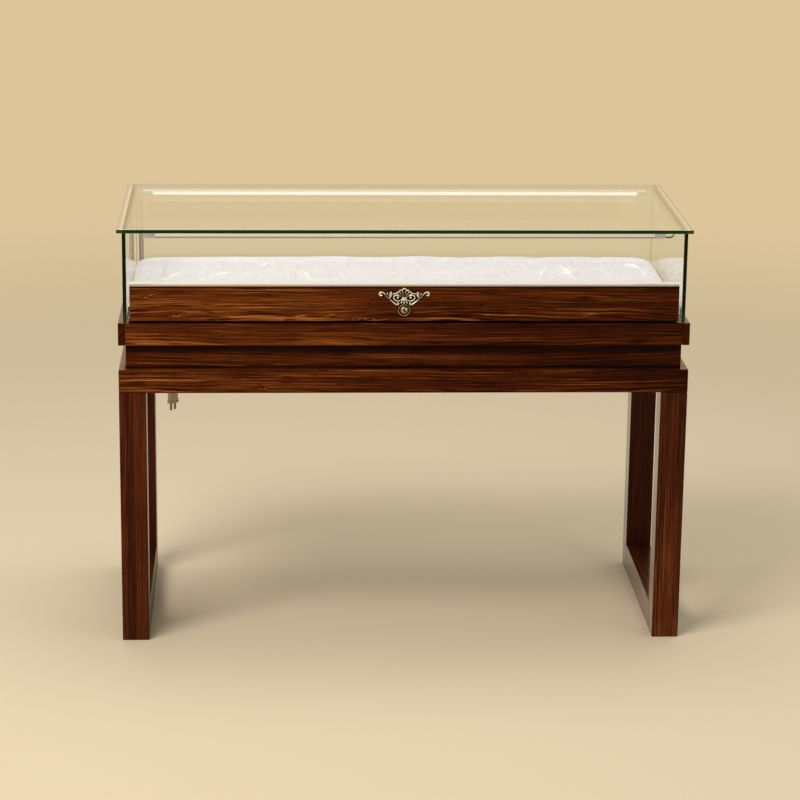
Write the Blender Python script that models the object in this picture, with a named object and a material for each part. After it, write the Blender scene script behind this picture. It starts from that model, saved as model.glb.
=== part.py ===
"""Glass-topped display case for jewellery, with a lockable drawer under the glass, on a four-legged stand.

Metres, +Z up. The origin is on the floor under the middle of the case, and the drawer opens towards -Y.
"""
from math import cos, pi, radians, sin, sqrt

import bmesh
import bpy
from mathutils import Matrix, Vector

# Overall sizes
CASE_WIDTH = 1.200
CASE_DEPTH = 0.500
CASE_HEIGHT = 0.900
JOINT_GAP = 0.0003
WOOD_EDGE = 0.0015

# Stand
STAND_HEIGHT = 0.600
LEG_SIDE = 0.057
RUNNER_HEIGHT = 0.062
RAIL_HEIGHT = 0.050
RAIL_THICKNESS = 0.030

# Carcass on the stand, and the cap strips planted round it
CARCASS_HEIGHT = 0.101
CARCASS_BOARD = 0.020
NECK_SETBACK = 0.015
CAP_HEIGHT = 0.048
BASE_THICKNESS = 0.012
BASE_DROP = 0.002
GROOVE_DEPTH = 0.006

# Glass
TOP_GLASS_THICKNESS = 0.008
PANE_THICKNESS = 0.008
GLASS_OVERHANG = 0.011
FRONT_SETBACK = 0.004
GLASS_EDGE = 0.0008

# Drawer
DRAWER_SIDE_GAP = 0.006
DRAWER_LIFT = 0.0035
DRAWER_FRONT_HEIGHT = 0.0775
DRAWER_FRONT_THICKNESS = 0.020
DRAWER_PANE_GAP = 0.0025
DRAWER_REAR_GAP = 0.0015
DECK_RISE = 0.015
DECK_THICKNESS = 0.009
DECK_PANE_GAP = 0.0045
DECK_EDGE = 0.0025
DRAWER_RAIL_WIDTH = 0.012

# Ball slides, lying flat between the base board and the drawer deck
SLIDE_WIDTH = 0.036
SLIDE_HEIGHT = 0.0155
SLIDE_SHEET = 0.0012
SLIDE_LIP = 0.0028
SLIDE_RUN_GAP = 0.0004
SLIDE_SILL_CLEARANCE = 0.0012
SLIDE_END_GAP = 0.003
SLIDE_SIDE_DISTANCE = 0.030
SLIDE_BACK_RAIL_CLEARANCE = 0.008

# Cam lock
LOCK_X = -0.003
LOCK_RISE = 0.024
LOCK_PROUD = 0.0035
LOCK_FACE_RADIUS = 0.0073
LOCK_FACE_RISE = 0.0017
LOCK_FLANGE_RADIUS = 0.0092
LOCK_BARREL_RADIUS = 0.0080
LOCK_TAIL = 0.002
LOCK_SIDES = 32
PLUG_RADIUS = 0.0060
PLUG_RUN_CLEARANCE = 0.0001
KEYWAY_WIDTH = 0.0017
KEYWAY_LENGTH = 0.0076
KEYWAY_DEPTH = 0.004
CAM_HUB_RADIUS = 0.0070
CAM_HALF_WIDTH = 0.0045
CAM_THICKNESS = 0.0025
CAM_ENGAGEMENT = 0.0085
CAM_CLEARANCE = 0.0015
STRIKE_THICKNESS = 0.0012
STRIKE_END_MARGIN = 0.010
STRIKE_SIDE_MARGIN = 0.003

# Escutcheon round the lock
ESCUTCHEON_THICKNESS = 0.0025
RING_BAND = 0.0040

# Display cloth on the deck
CLOTH_THICKNESS = 0.001
CLOTH_SKIRT = 0.0195
CLOTH_FRONT_MARGIN = 0.002
CLOTH_FOLD_HEIGHT = 0.0045
CLOTH_REAR_RISE = 0.0075
CLOTH_REAR_REACH = 0.070
CLOTH_COLUMNS = 36
CLOTH_ROWS = 13

# Light bars under the top glass, and the duct that takes their wires down
LED_WIDTH = 0.014
LED_HEIGHT = 0.012
LED_WALL = 0.0012
LED_LIP = 0.0026
LED_PANE_GAP = 0.001
LED_END_LENGTH = 0.022
END_EDGE = 0.0006
LED_FRONT_END_DISTANCE = 0.0385
LED_LENS_CROWN = 0.0014
DUCT_WIDTH = 0.0095
DUCT_DEPTH = 0.009
DUCT_PANE_GAP = 0.0065
DUCT_EDGE = 0.001
LINK_WIRE_DIAMETER = 0.003

# Driver of the lights under the base board
DRIVER_LENGTH = 0.110
DRIVER_WIDTH = 0.040
DRIVER_HEIGHT = 0.026
DRIVER_EAR_LENGTH = 0.012
DRIVER_EAR_THICKNESS = 0.0025
DRIVER_REAR_GAP = 0.003
DRIVER_WALL_DISTANCE = 0.0695

# Mains cord, wound up and tied under the base board, with its plug hanging down
CORD_DIAMETER = 0.005
CORD_POINT_STEP = 0.012
GLAND_LENGTH = 0.024
GLAND_ROOT_RADIUS = 0.0062
GLAND_TIP_RADIUS = 0.0036
LOOP_PITCH = 0.0055
LOOP_COUNT = 7
LOOP_POINTS = 24
LOOP_OUTER_RADIUS = 0.03925
COIL_DROP = 0.065
TIE_BAND = 0.0015
TIE_WIDTH = 0.012
TIE_CLEARANCE = 0.0004
TIE_STEM = 0.003
TIE_FOOT_DEPTH = 0.016
TAIL_LENGTH = 0.0964
PLUG_LENGTH = 0.026
PLUG_DEPTH = 0.017
PLUG_HEIGHT = 0.058
PLUG_TURN = radians(50)
PIN_SPACING = 0.0127
PIN_WIDTH = 0.0063
PIN_THICKNESS = 0.0015
PIN_LENGTH = 0.0165

# Levels and faces worked out from the sizes above
HALF_WIDTH = CASE_WIDTH / 2
HALF_DEPTH = CASE_DEPTH / 2
RAIL_UNDERSIDE = STAND_HEIGHT - RAIL_HEIGHT
CARCASS_TOP = STAND_HEIGHT + CARCASS_HEIGHT
CARCASS_X = HALF_WIDTH - NECK_SETBACK
CARCASS_Y = HALF_DEPTH - NECK_SETBACK
CARCASS_INNER_X = CARCASS_X - CARCASS_BOARD
CARCASS_INNER_Y = CARCASS_Y - CARCASS_BOARD
BASE_TOP = CARCASS_TOP - BASE_DROP
BASE_UNDERSIDE = BASE_TOP - BASE_THICKNESS
GLASS_UNDERSIDE = CASE_HEIGHT - TOP_GLASS_THICKNESS
PANE_OUTER_X = HALF_WIDTH - GLASS_OVERHANG
PANE_INNER_X = PANE_OUTER_X - PANE_THICKNESS
PANE_FRONT_Y = -HALF_DEPTH + FRONT_SETBACK
PANE_BACK_Y = HALF_DEPTH - GLASS_OVERHANG
BACK_PANE_INNER_Y = PANE_BACK_Y - PANE_THICKNESS
FRONT_PANE_INNER_Y = PANE_FRONT_Y + PANE_THICKNESS
DRAWER_BOTTOM = CARCASS_TOP + DRAWER_LIFT
DRAWER_TOP = DRAWER_BOTTOM + DRAWER_FRONT_HEIGHT
DRAWER_HALF = PANE_INNER_X - DRAWER_SIDE_GAP
DRAWER_FACE_Y = PANE_FRONT_Y
DRAWER_INSIDE_Y = DRAWER_FACE_Y + DRAWER_FRONT_THICKNESS
DECK_UNDERSIDE = DRAWER_BOTTOM + DECK_RISE
DECK_TOP = DECK_UNDERSIDE + DECK_THICKNESS
DECK_HALF = PANE_INNER_X - DECK_PANE_GAP
DUCT_FRONT_Y = BACK_PANE_INNER_Y - JOINT_GAP - DUCT_DEPTH
DECK_REAR_Y = DUCT_FRONT_Y - DRAWER_REAR_GAP
LOCK_Z = DRAWER_BOTTOM + LOCK_RISE
LOCK_SILL_DROP = LOCK_RISE + DRAWER_LIFT
CAM_REACH = LOCK_SILL_DROP + CAM_ENGAGEMENT
CAM_FRONT_Y = DRAWER_INSIDE_Y + LOCK_TAIL + 2 * JOINT_GAP
CAM_REAR_Y = CAM_FRONT_Y + CAM_THICKNESS
CAM_SWEEP = sqrt(CAM_REACH**2 + CAM_HALF_WIDTH**2 - LOCK_SILL_DROP**2)
MORTISE_LEFT = LOCK_X - CAM_HALF_WIDTH - CAM_CLEARANCE
MORTISE_RIGHT = LOCK_X + CAM_SWEEP + CAM_CLEARANCE
MORTISE_FRONT_Y = CAM_FRONT_Y - CAM_CLEARANCE
MORTISE_REAR_Y = CAM_REAR_Y + CAM_CLEARANCE
NOTCH_REAR_Y = CAM_REAR_Y + CAM_CLEARANCE
SLIDE_X = DECK_HALF - DRAWER_RAIL_WIDTH - SLIDE_SIDE_DISTANCE - SLIDE_WIDTH / 2
CORD_X = -CARCASS_INNER_X + DRIVER_WALL_DISTANCE
DRIVER_REAR_Y = CARCASS_INNER_Y - DRIVER_REAR_GAP - DRIVER_EAR_LENGTH
DRIVER_FRONT_Y = DRIVER_REAR_Y - DRIVER_LENGTH
DRIVER_TOP = BASE_UNDERSIDE - JOINT_GAP
GLAND_Z = DRIVER_TOP - DRIVER_HEIGHT / 2
GLAND_TIP_Y = DRIVER_FRONT_Y - JOINT_GAP - GLAND_LENGTH
COIL_Z = BASE_UNDERSIDE - COIL_DROP

# Route of the lead from the gland's tip to the top of the coil, as (forward, down), chosen by hand
LEAD_ROUTE = (
    (0.0000, 0.0000),
    (0.0100, 0.0001),
    (0.0200, 0.0010),
    (0.0300, 0.0034),
    (0.0400, 0.0080),
    (0.0490, 0.0150),
    (0.0560, 0.0240),
    (0.0605, 0.0330),
    (0.0628, 0.0415),
    (0.0633, 0.0464),
)
COIL_Y = GLAND_TIP_Y - LEAD_ROUTE[-1][0] - LOOP_PITCH / 2

# Pierced outline of the escutcheon, right half from the ring up to the peak, in millimetres from the lock
WING_OUTLINE = (
    (10.8, 10.2),
    (15.5, 11.6),
    (22.4, 15.3),
    (29.5, 20.6),
    (36.0, 27.6),
    (40.2, 32.8),
    (43.4, 35.6),
    (46.4, 34.8),
    (46.8, 31.4),
    (49.6, 29.2),
    (52.6, 31.8),
    (52.6, 36.8),
    (49.0, 40.8),
    (44.2, 41.6),
    (39.6, 39.0),
    (36.4, 40.6),
    (33.6, 39.2),
    (31.2, 42.6),
    (27.8, 43.6),
    (24.6, 41.0),
    (20.6, 40.8),
    (17.0, 40.6),
    (14.0, 41.6),
    (10.8, 44.2),
    (6.8, 44.2),
    (3.8, 47.2),
)
PEAK = (0.0, 48.4)
RING_LAST_ANGLE = radians(46)

# Teardrop piercings of the escutcheon's right half: middle, length and width in millimetres, and tilt
WING_PIERCINGS = (
    ((6.2, 36.0), 9.0, 2.4, radians(68)),
    ((13.2, 35.0), 10.0, 2.8, radians(32)),
    ((21.4, 30.6), 4.6, 3.0, radians(60)),
    ((9.8, 19.4), 4.0, 2.6, radians(20)),
    ((19.8, 20.8), 4.4, 2.8, radians(35)),
    ((33.6, 32.8), 5.6, 2.8, radians(60)),
)
PEAK_PIERCING = ((0.0, 38.6), 9.6, 4.6, radians(90))
TEARDROP_POINTS = 12
MM = 0.001


def clear_scene():
    for thing in list(bpy.data.objects):
        bpy.data.objects.remove(thing, do_unlink=True)


def finish(name, colour, roughness, metallic=0.0, alpha=1.0):
    made = bpy.data.materials.new(name)
    made.use_nodes = True
    shader = made.node_tree.nodes["Principled BSDF"]
    shader.inputs["Base Color"].default_value = (*colour, 1.0)
    shader.inputs["Roughness"].default_value = roughness
    shader.inputs["Metallic"].default_value = metallic
    shader.inputs["Alpha"].default_value = alpha
    return made


def make_finishes():
    return {
        "stained_wood": finish("stained_wood", (0.10, 0.028, 0.006), 0.35),
        "deck_board": finish("deck_board", (0.30, 0.17, 0.08), 0.6),
        "clear_glass": finish("clear_glass", (0.85, 0.93, 0.88), 0.03, alpha=0.3),
        "aluminium": finish("aluminium", (0.62, 0.64, 0.66), 0.35, 1.0),
        "diffuser": finish("diffuser", (0.92, 0.92, 0.90), 0.4),
        "grey_cap": finish("grey_cap", (0.42, 0.45, 0.50), 0.45),
        "wire_jacket": finish("wire_jacket", (0.03, 0.02, 0.02), 0.5),
        "white_duct": finish("white_duct", (0.72, 0.70, 0.66), 0.4),
        "driver_shell": finish("driver_shell", (0.80, 0.80, 0.78), 0.4),
        "slide_steel": finish("slide_steel", (0.60, 0.61, 0.62), 0.3, 1.0),
        "bronze": finish("bronze", (0.42, 0.33, 0.18), 0.35, 1.0),
        "lock_brass": finish("lock_brass", (0.55, 0.45, 0.25), 0.3, 1.0),
        "satin": finish("satin", (0.88, 0.86, 0.84), 0.45),
        "cord_jacket": finish("cord_jacket", (0.55, 0.53, 0.48), 0.5),
        "plug_shell": finish("plug_shell", (0.50, 0.48, 0.43), 0.45),
        "pin_brass": finish("pin_brass", (0.70, 0.62, 0.42), 0.3, 1.0),
    }


def world_place(empty):
    place = Vector()
    while empty is not None:
        place += empty.location
        empty = empty.parent
    return place


def body_origin(name, place, parent=None):
    empty = bpy.data.objects.new(name, None)
    bpy.context.collection.objects.link(empty)
    empty.parent = parent
    empty.location = Vector(place) - world_place(parent)
    return empty


def add_object(name, data, place, body, material):
    thing = bpy.data.objects.new(name, data)
    bpy.context.collection.objects.link(thing)
    thing.parent = body
    thing.location = Vector(place) - world_place(body)
    if material is not None:
        data.materials.append(material)
    return thing


def mesh_from(bm, name):
    bmesh.ops.recalc_face_normals(bm, faces=bm.faces)
    data = bpy.data.meshes.new(name)
    bm.to_mesh(data)
    bm.free()
    return data


def smooth_round(data):
    data.shade_smooth()
    data.set_sharp_from_angle(angle=radians(35))


def round_edges(thing, width, segments=2):
    bevel = thing.modifiers.new("edges", "BEVEL")
    bevel.width = width
    bevel.segments = segments
    bevel.limit_method = "ANGLE"
    bevel.angle_limit = radians(40)


def block(name, low, high, body, material, edge=WOOD_EDGE):
    """A box between two corners, with its edges eased."""
    low = Vector(low)
    high = Vector(high)
    size = high - low
    bm = bmesh.new()
    bmesh.ops.create_cube(bm, size=1.0)
    bmesh.ops.scale(bm, vec=size, verts=bm.verts)
    thing = add_object(name, mesh_from(bm, name), (low + high) / 2, body, material)
    if edge:
        round_edges(thing, edge)
    return thing


def cutter_block(name, low, high, body):
    thing = block(name, low, high, body, None, edge=0)
    thing.hide_render = True
    thing.display_type = "WIRE"
    return thing


def cutter_cylinder(name, radius, length, centre, body):
    bm = bmesh.new()
    bmesh.ops.create_cone(
        bm, cap_ends=True, segments=LOCK_SIDES, radius1=radius, radius2=radius, depth=length
    )
    bmesh.ops.rotate(bm, matrix=Matrix.Rotation(pi / 2, 3, "X"), verts=bm.verts)
    thing = add_object(name, mesh_from(bm, name), centre, body, None)
    thing.hide_render = True
    thing.display_type = "WIRE"
    return thing


def cut(thing, cutter):
    boolean = thing.modifiers.new("cut_" + cutter.name, "BOOLEAN")
    boolean.operation = "DIFFERENCE"
    boolean.solver = "EXACT"
    boolean.object = cutter


def outline_faces(bm, outlines):
    """Fill the first outline, leaving the others open as holes, in the local XY plane."""
    edges = []
    for outline in outlines:
        points = [bm.verts.new((across, up, 0.0)) for across, up in outline]
        for first, second in zip(points, points[1:] + points[:1]):
            edges.append(bm.edges.new((first, second)))
    filled = bmesh.ops.triangle_fill(bm, use_beauty=True, use_dissolve=False, edges=edges)
    return [part for part in filled["geom"] if isinstance(part, bmesh.types.BMFace)]


AXIS_TURNS = {
    "X": Matrix(((0, 0, 1), (1, 0, 0), (0, 1, 0))),
    "Y": Matrix(((1, 0, 0), (0, 0, 1), (0, 1, 0))),
    "Z": Matrix(((1, 0, 0), (0, 1, 0), (0, 0, 1))),
}


def extruded(name, outlines, axis, length, place, body, material):
    """Outlines filled and drawn out along an axis: (y, z) for X, (x, z) for Y, (x, y) for Z."""
    bm = bmesh.new()
    faces = outline_faces(bm, outlines)
    drawn = bmesh.ops.extrude_face_region(bm, geom=faces)
    moved = [part for part in drawn["geom"] if isinstance(part, bmesh.types.BMVert)]
    bmesh.ops.translate(bm, vec=(0.0, 0.0, length), verts=moved)
    bmesh.ops.transform(bm, matrix=AXIS_TURNS[axis].to_4x4(), verts=bm.verts)
    return add_object(name, mesh_from(bm, name), place, body, material)


def turned(name, profile, sides, axis_turn, place, body, material):
    """A profile of (radius, height) points, from the axis or closed on itself, spun about local Z."""
    bm = bmesh.new()
    points = [bm.verts.new((radius, 0.0, height)) for radius, height in profile]
    closed = profile[0][0] > 0
    rounds = zip(points, points[1:] + points[:1]) if closed else zip(points, points[1:])
    edges = [bm.edges.new(pair) for pair in rounds]
    bmesh.ops.spin(
        bm,
        geom=points + edges,
        cent=(0, 0, 0),
        axis=(0, 0, 1),
        angle=2 * pi,
        steps=sides,
        use_merge=True,
        use_duplicate=False,
    )
    bmesh.ops.remove_doubles(bm, verts=bm.verts, dist=1e-6)
    bmesh.ops.transform(bm, matrix=axis_turn.to_4x4(), verts=bm.verts)
    data = mesh_from(bm, name)
    smooth_round(data)
    return add_object(name, data, place, body, material)


def smooth_route(route, step):
    """Points about a step apart on a smooth curve through the route's own points."""
    ends = [2 * route[0] - route[1]] + list(route) + [2 * route[-1] - route[-2]]
    points = [route[0].copy()]
    for before, start, stop, after in zip(ends, ends[1:], ends[2:], ends[3:]):
        count = max(1, round((stop - start).length / step))
        for index in range(1, count + 1):
            part = index / count
            bend = (
                2 * start
                + (stop - before) * part
                + (2 * before - 5 * start + 4 * stop - after) * part**2
                + (3 * start - before - 3 * stop + after) * part**3
            )
            points.append(bend / 2)
    return points


def tube(name, points, diameter, resolution, body, material):
    """A round tube with closed ends along points given in world places."""
    curve = bpy.data.curves.new(name, "CURVE")
    curve.dimensions = "3D"
    curve.bevel_depth = diameter / 2
    curve.bevel_resolution = resolution
    curve.use_fill_caps = True
    spline = curve.splines.new("POLY")
    spline.points.add(len(points) - 1)
    for knot, point in zip(spline.points, points):
        knot.co = (*(point - points[0]), 1.0)
    return add_object(name, curve, points[0], body, material)


def make_stand(case, finishes):
    wood = finishes["stained_wood"]
    leg_top = RAIL_UNDERSIDE - JOINT_GAP
    inner_x = HALF_WIDTH - LEG_SIDE
    inner_y = HALF_DEPTH - LEG_SIDE
    for side, left, right in (("left", -HALF_WIDTH, -inner_x), ("right", inner_x, HALF_WIDTH)):
        block("leg_front_" + side, (left, -HALF_DEPTH, 0), (right, -inner_y, leg_top), case, wood)
        block("leg_rear_" + side, (left, inner_y, 0), (right, HALF_DEPTH, leg_top), case, wood)
        reach = inner_y - JOINT_GAP
        block("runner_" + side, (left, -reach, 0), (right, reach, RUNNER_HEIGHT), case, wood)
    rail_inner_y = HALF_DEPTH - RAIL_THICKNESS
    for end, low, high in (("front", -HALF_DEPTH, -rail_inner_y), ("rear", rail_inner_y, HALF_DEPTH)):
        name = "lower_rail_" + end
        block(name, (-HALF_WIDTH, low, RAIL_UNDERSIDE), (HALF_WIDTH, high, STAND_HEIGHT), case, wood)
    rail_inner_x = HALF_WIDTH - RAIL_THICKNESS
    reach = rail_inner_y - JOINT_GAP
    for side, low, high in (("left", -HALF_WIDTH, -rail_inner_x), ("right", rail_inner_x, HALF_WIDTH)):
        name = "lower_rail_" + side
        block(name, (low, -reach, RAIL_UNDERSIDE), (high, reach, STAND_HEIGHT), case, wood)


def grooved_outline(outward):
    """Cross-section of a carcass board, measured from its inner face, with the base board's groove."""
    low = STAND_HEIGHT + JOINT_GAP
    groove_low = BASE_UNDERSIDE - JOINT_GAP
    groove_high = BASE_TOP + JOINT_GAP
    return (
        (0.0, low),
        (outward * CARCASS_BOARD, low),
        (outward * CARCASS_BOARD, CARCASS_TOP),
        (0.0, CARCASS_TOP),
        (0.0, groove_high),
        (outward * GROOVE_DEPTH, groove_high),
        (outward * GROOVE_DEPTH, groove_low),
        (0.0, groove_low),
    )


def make_carcass(case, finishes):
    wood = finishes["stained_wood"]
    reach = CARCASS_INNER_Y - JOINT_GAP
    for side, sign in (("left", -1), ("right", 1)):
        place = (sign * CARCASS_INNER_X, -reach, 0)
        extruded("neck_" + side, [grooved_outline(sign)], "Y", 2 * reach, place, case, wood)
    boards = {}
    for end, sign in (("front", -1), ("rear", 1)):
        place = (-CARCASS_X, sign * CARCASS_INNER_Y, 0)
        boards[end] = extruded("neck_" + end, [grooved_outline(sign)], "X", 2 * CARCASS_X, place, case, wood)
    base_x = CARCASS_INNER_X + GROOVE_DEPTH - JOINT_GAP
    base_y = CARCASS_INNER_Y + GROOVE_DEPTH - JOINT_GAP
    low = (-base_x, -base_y, BASE_UNDERSIDE)
    block("base_board", low, (base_x, base_y, BASE_TOP), case, finishes["deck_board"], edge=0)
    return boards["front"]


def make_cap(case, finishes):
    wood = finishes["stained_wood"]
    underside = CARCASS_TOP - CAP_HEIGHT
    inner_x = CARCASS_X + JOINT_GAP
    inner_y = CARCASS_Y + JOINT_GAP
    for side, left, right in (("left", -HALF_WIDTH, -inner_x), ("right", inner_x, HALF_WIDTH)):
        block("cap_" + side, (left, -HALF_DEPTH, underside), (right, HALF_DEPTH, CARCASS_TOP), case, wood)
    reach = inner_x - JOINT_GAP
    for end, front, back in (("front", -HALF_DEPTH, -inner_y), ("rear", inner_y, HALF_DEPTH)):
        block("cap_" + end, (-reach, front, underside), (reach, back, CARCASS_TOP), case, wood)


def make_glass(case, finishes):
    glass = finishes["clear_glass"]
    low = CARCASS_TOP + JOINT_GAP
    high = GLASS_UNDERSIDE - JOINT_GAP
    top_low = (-HALF_WIDTH, -HALF_DEPTH, GLASS_UNDERSIDE)
    block("glass_top", top_low, (HALF_WIDTH, HALF_DEPTH, CASE_HEIGHT), case, glass, GLASS_EDGE)
    for side, left, right in (("left", -PANE_OUTER_X, -PANE_INNER_X), ("right", PANE_INNER_X, PANE_OUTER_X)):
        name = "glass_" + side
        block(name, (left, PANE_FRONT_Y, low), (right, PANE_BACK_Y, high), case, glass, GLASS_EDGE)
    reach = PANE_INNER_X - JOINT_GAP
    back_low = (-reach, BACK_PANE_INNER_Y, low)
    block("glass_back", back_low, (reach, PANE_BACK_Y, high), case, glass, GLASS_EDGE)
    front_low = (-reach, PANE_FRONT_Y, DRAWER_TOP + DRAWER_PANE_GAP)
    block("glass_front", front_low, (reach, FRONT_PANE_INNER_Y, high), case, glass, GLASS_EDGE)


def channel_outline():
    """Cross-section of a light bar's channel: a wall against the pane and one under the glass, each with a lip."""
    half = LED_WIDTH / 2
    return (
        (-half, 0.0),
        (-half + LED_LIP, 0.0),
        (-half + LED_LIP, LED_WALL),
        (-half + LED_WALL, LED_WALL),
        (-half + LED_WALL, LED_HEIGHT - LED_WALL),
        (half - LED_WALL, LED_HEIGHT - LED_WALL),
        (half - LED_WALL, LED_HEIGHT - LED_LIP),
        (half, LED_HEIGHT - LED_LIP),
        (half, LED_HEIGHT),
        (-half, LED_HEIGHT),
    )


def lens_outline():
    """Cross-section of the diffuser, set slantwise from lip to lip and crowned into the case."""
    half = LED_WIDTH / 2
    foot = -half + LED_LIP + JOINT_GAP
    head = LED_HEIGHT - LED_LIP - JOINT_GAP
    run = half - foot
    slope = sqrt(run**2 + head**2)
    steps = 8
    crown = []
    for index in range(steps + 1):
        share = index / steps
        bulge = LED_LENS_CROWN * (1 - (2 * share - 1) ** 2)
        crown.append((foot + run * share + bulge * head / slope, head * share - bulge * run / slope))
    return crown + [(half - LED_WALL - JOINT_GAP, head), (foot, LED_WALL + JOINT_GAP)]


def end_outline():
    """Cross-section of a light bar's end cap, slanting as the lens does."""
    half = LED_WIDTH / 2
    slant = [(-half, 0.0), (-half + LED_LIP, 0.0), (half, LED_HEIGHT - LED_LIP)]
    return slant + [(half, LED_HEIGHT), (-half, LED_HEIGHT)]


def facing_rear(outline):
    return [(-across, up) for across, up in reversed(outline)]


def make_light_bar(where, half_length, middle_y, case, finishes):
    underside = GLASS_UNDERSIDE - JOINT_GAP - LED_HEIGHT
    body_half = half_length - LED_END_LENGTH - JOINT_GAP
    outlines = [channel_outline(), lens_outline(), end_outline()]
    if where == "back":
        outlines = [facing_rear(outline) for outline in outlines]
    channel, lens, end = outlines
    place = (-body_half, middle_y, underside)
    length = 2 * body_half
    extruded("led_channel_" + where, [channel], "X", length, place, case, finishes["aluminium"])
    extruded("led_lens_" + where, [lens], "X", length, place, case, finishes["diffuser"])
    for side, left in (("left", -half_length), ("right", half_length - LED_END_LENGTH)):
        name = "led_end_" + where + "_" + side
        place = (left, middle_y, underside)
        cap = extruded(name, [end], "X", LED_END_LENGTH, place, case, finishes["grey_cap"])
        round_edges(cap, END_EDGE, 1)


def make_lights(case, finishes):
    front_half = PANE_INNER_X - LED_FRONT_END_DISTANCE
    back_half = PANE_INNER_X - DUCT_PANE_GAP - DUCT_WIDTH - JOINT_GAP
    front_y = FRONT_PANE_INNER_Y + LED_PANE_GAP + LED_WIDTH / 2
    back_y = BACK_PANE_INNER_Y - LED_PANE_GAP - LED_WIDTH / 2
    make_light_bar("front", front_half, front_y, case, finishes)
    make_light_bar("back", back_half, back_y, case, finishes)

    radius = LINK_WIRE_DIAMETER / 2
    under_glass = GLASS_UNDERSIDE - JOINT_GAP - radius
    bar_middle = GLASS_UNDERSIDE - JOINT_GAP - LED_HEIGHT / 2
    along = back_half + JOINT_GAP + 0.008
    route = (
        (front_half + JOINT_GAP, front_y, bar_middle),
        (front_half + 0.0050, front_y, bar_middle),
        (front_half + 0.0130, front_y + 0.0020, bar_middle - 0.0025),
        (along - 0.0060, front_y + 0.0100, bar_middle - 0.0020),
        (along - 0.0010, front_y + 0.0240, under_glass - 0.0015),
        (along, front_y + 0.0450, under_glass),
        (along, back_y - 0.0400, under_glass),
        (along, back_y - 0.0200, under_glass - 0.0012),
        (along - 0.0006, back_y - 0.0090, bar_middle + 0.0008),
        (along - 0.0026, back_y - 0.0022, bar_middle),
        (back_half + 0.0036, back_y, bar_middle),
        (back_half + JOINT_GAP, back_y, bar_middle),
    )
    points = smooth_route([Vector(point) for point in route], 0.006)
    tube("led_link_wire", points, LINK_WIRE_DIAMETER, 2, case, finishes["wire_jacket"])

    left = -PANE_INNER_X + DUCT_PANE_GAP
    low = (left, DUCT_FRONT_Y, CARCASS_TOP + JOINT_GAP)
    high = (left + DUCT_WIDTH, DUCT_FRONT_Y + DUCT_DEPTH, GLASS_UNDERSIDE - JOINT_GAP)
    block("wire_duct", low, high, case, finishes["white_duct"], DUCT_EDGE)


def make_driver(case, finishes):
    """The lights' driver, drawn out across the case from its side view with two screw ears."""
    ear = DRIVER_EAR_LENGTH
    underside = -DRIVER_HEIGHT
    outline = (
        (-ear, -DRIVER_EAR_THICKNESS),
        (0.0, -DRIVER_EAR_THICKNESS),
        (0.0, underside),
        (DRIVER_LENGTH, underside),
        (DRIVER_LENGTH, -DRIVER_EAR_THICKNESS),
        (DRIVER_LENGTH + ear, -DRIVER_EAR_THICKNESS),
        (DRIVER_LENGTH + ear, 0.0),
        (-ear, 0.0),
    )
    place = (CORD_X - DRIVER_WIDTH / 2, DRIVER_FRONT_Y, DRIVER_TOP)
    driver = extruded("led_driver", [outline], "X", DRIVER_WIDTH, place, case, finishes["driver_shell"])
    round_edges(driver, DUCT_EDGE, 1)


def coil_points():
    """One spiral in and out again in two layers, which climbs while the spiral turns back."""
    middle_x = CORD_X + LOOP_OUTER_RADIUS
    total = LOOP_COUNT * LOOP_POINTS
    points = [Vector((CORD_X, COIL_Y + LOOP_PITCH / 2, COIL_Z + CORD_DIAMETER))]
    for index in range(total + 1):
        loops = index / LOOP_POINTS
        wound = LOOP_COUNT / 2 - abs(loops - LOOP_COUNT / 2)
        radius = LOOP_OUTER_RADIUS - LOOP_PITCH * wound
        climb = min(1.0, max(0.0, 2 * (loops - LOOP_COUNT / 2) + 0.5))
        angle = pi + 2 * pi * loops
        across = middle_x + radius * cos(angle)
        points.append(Vector((across, COIL_Y + LOOP_PITCH * (0.5 - climb), COIL_Z + radius * sin(angle))))
    points.append(Vector((CORD_X, COIL_Y - LOOP_PITCH / 2, COIL_Z - CORD_DIAMETER)))
    return points


def least_gap(points, apart, diameter):
    """Smallest clear distance between stretches of a tube that lie more than some points apart."""
    least = float("inf")
    for index, point in enumerate(points):
        for other in points[index + apart:]:
            least = min(least, (point - other).length)
    return least - diameter


def path_length(points):
    return sum((after - before).length for before, after in zip(points, points[1:]))


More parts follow.
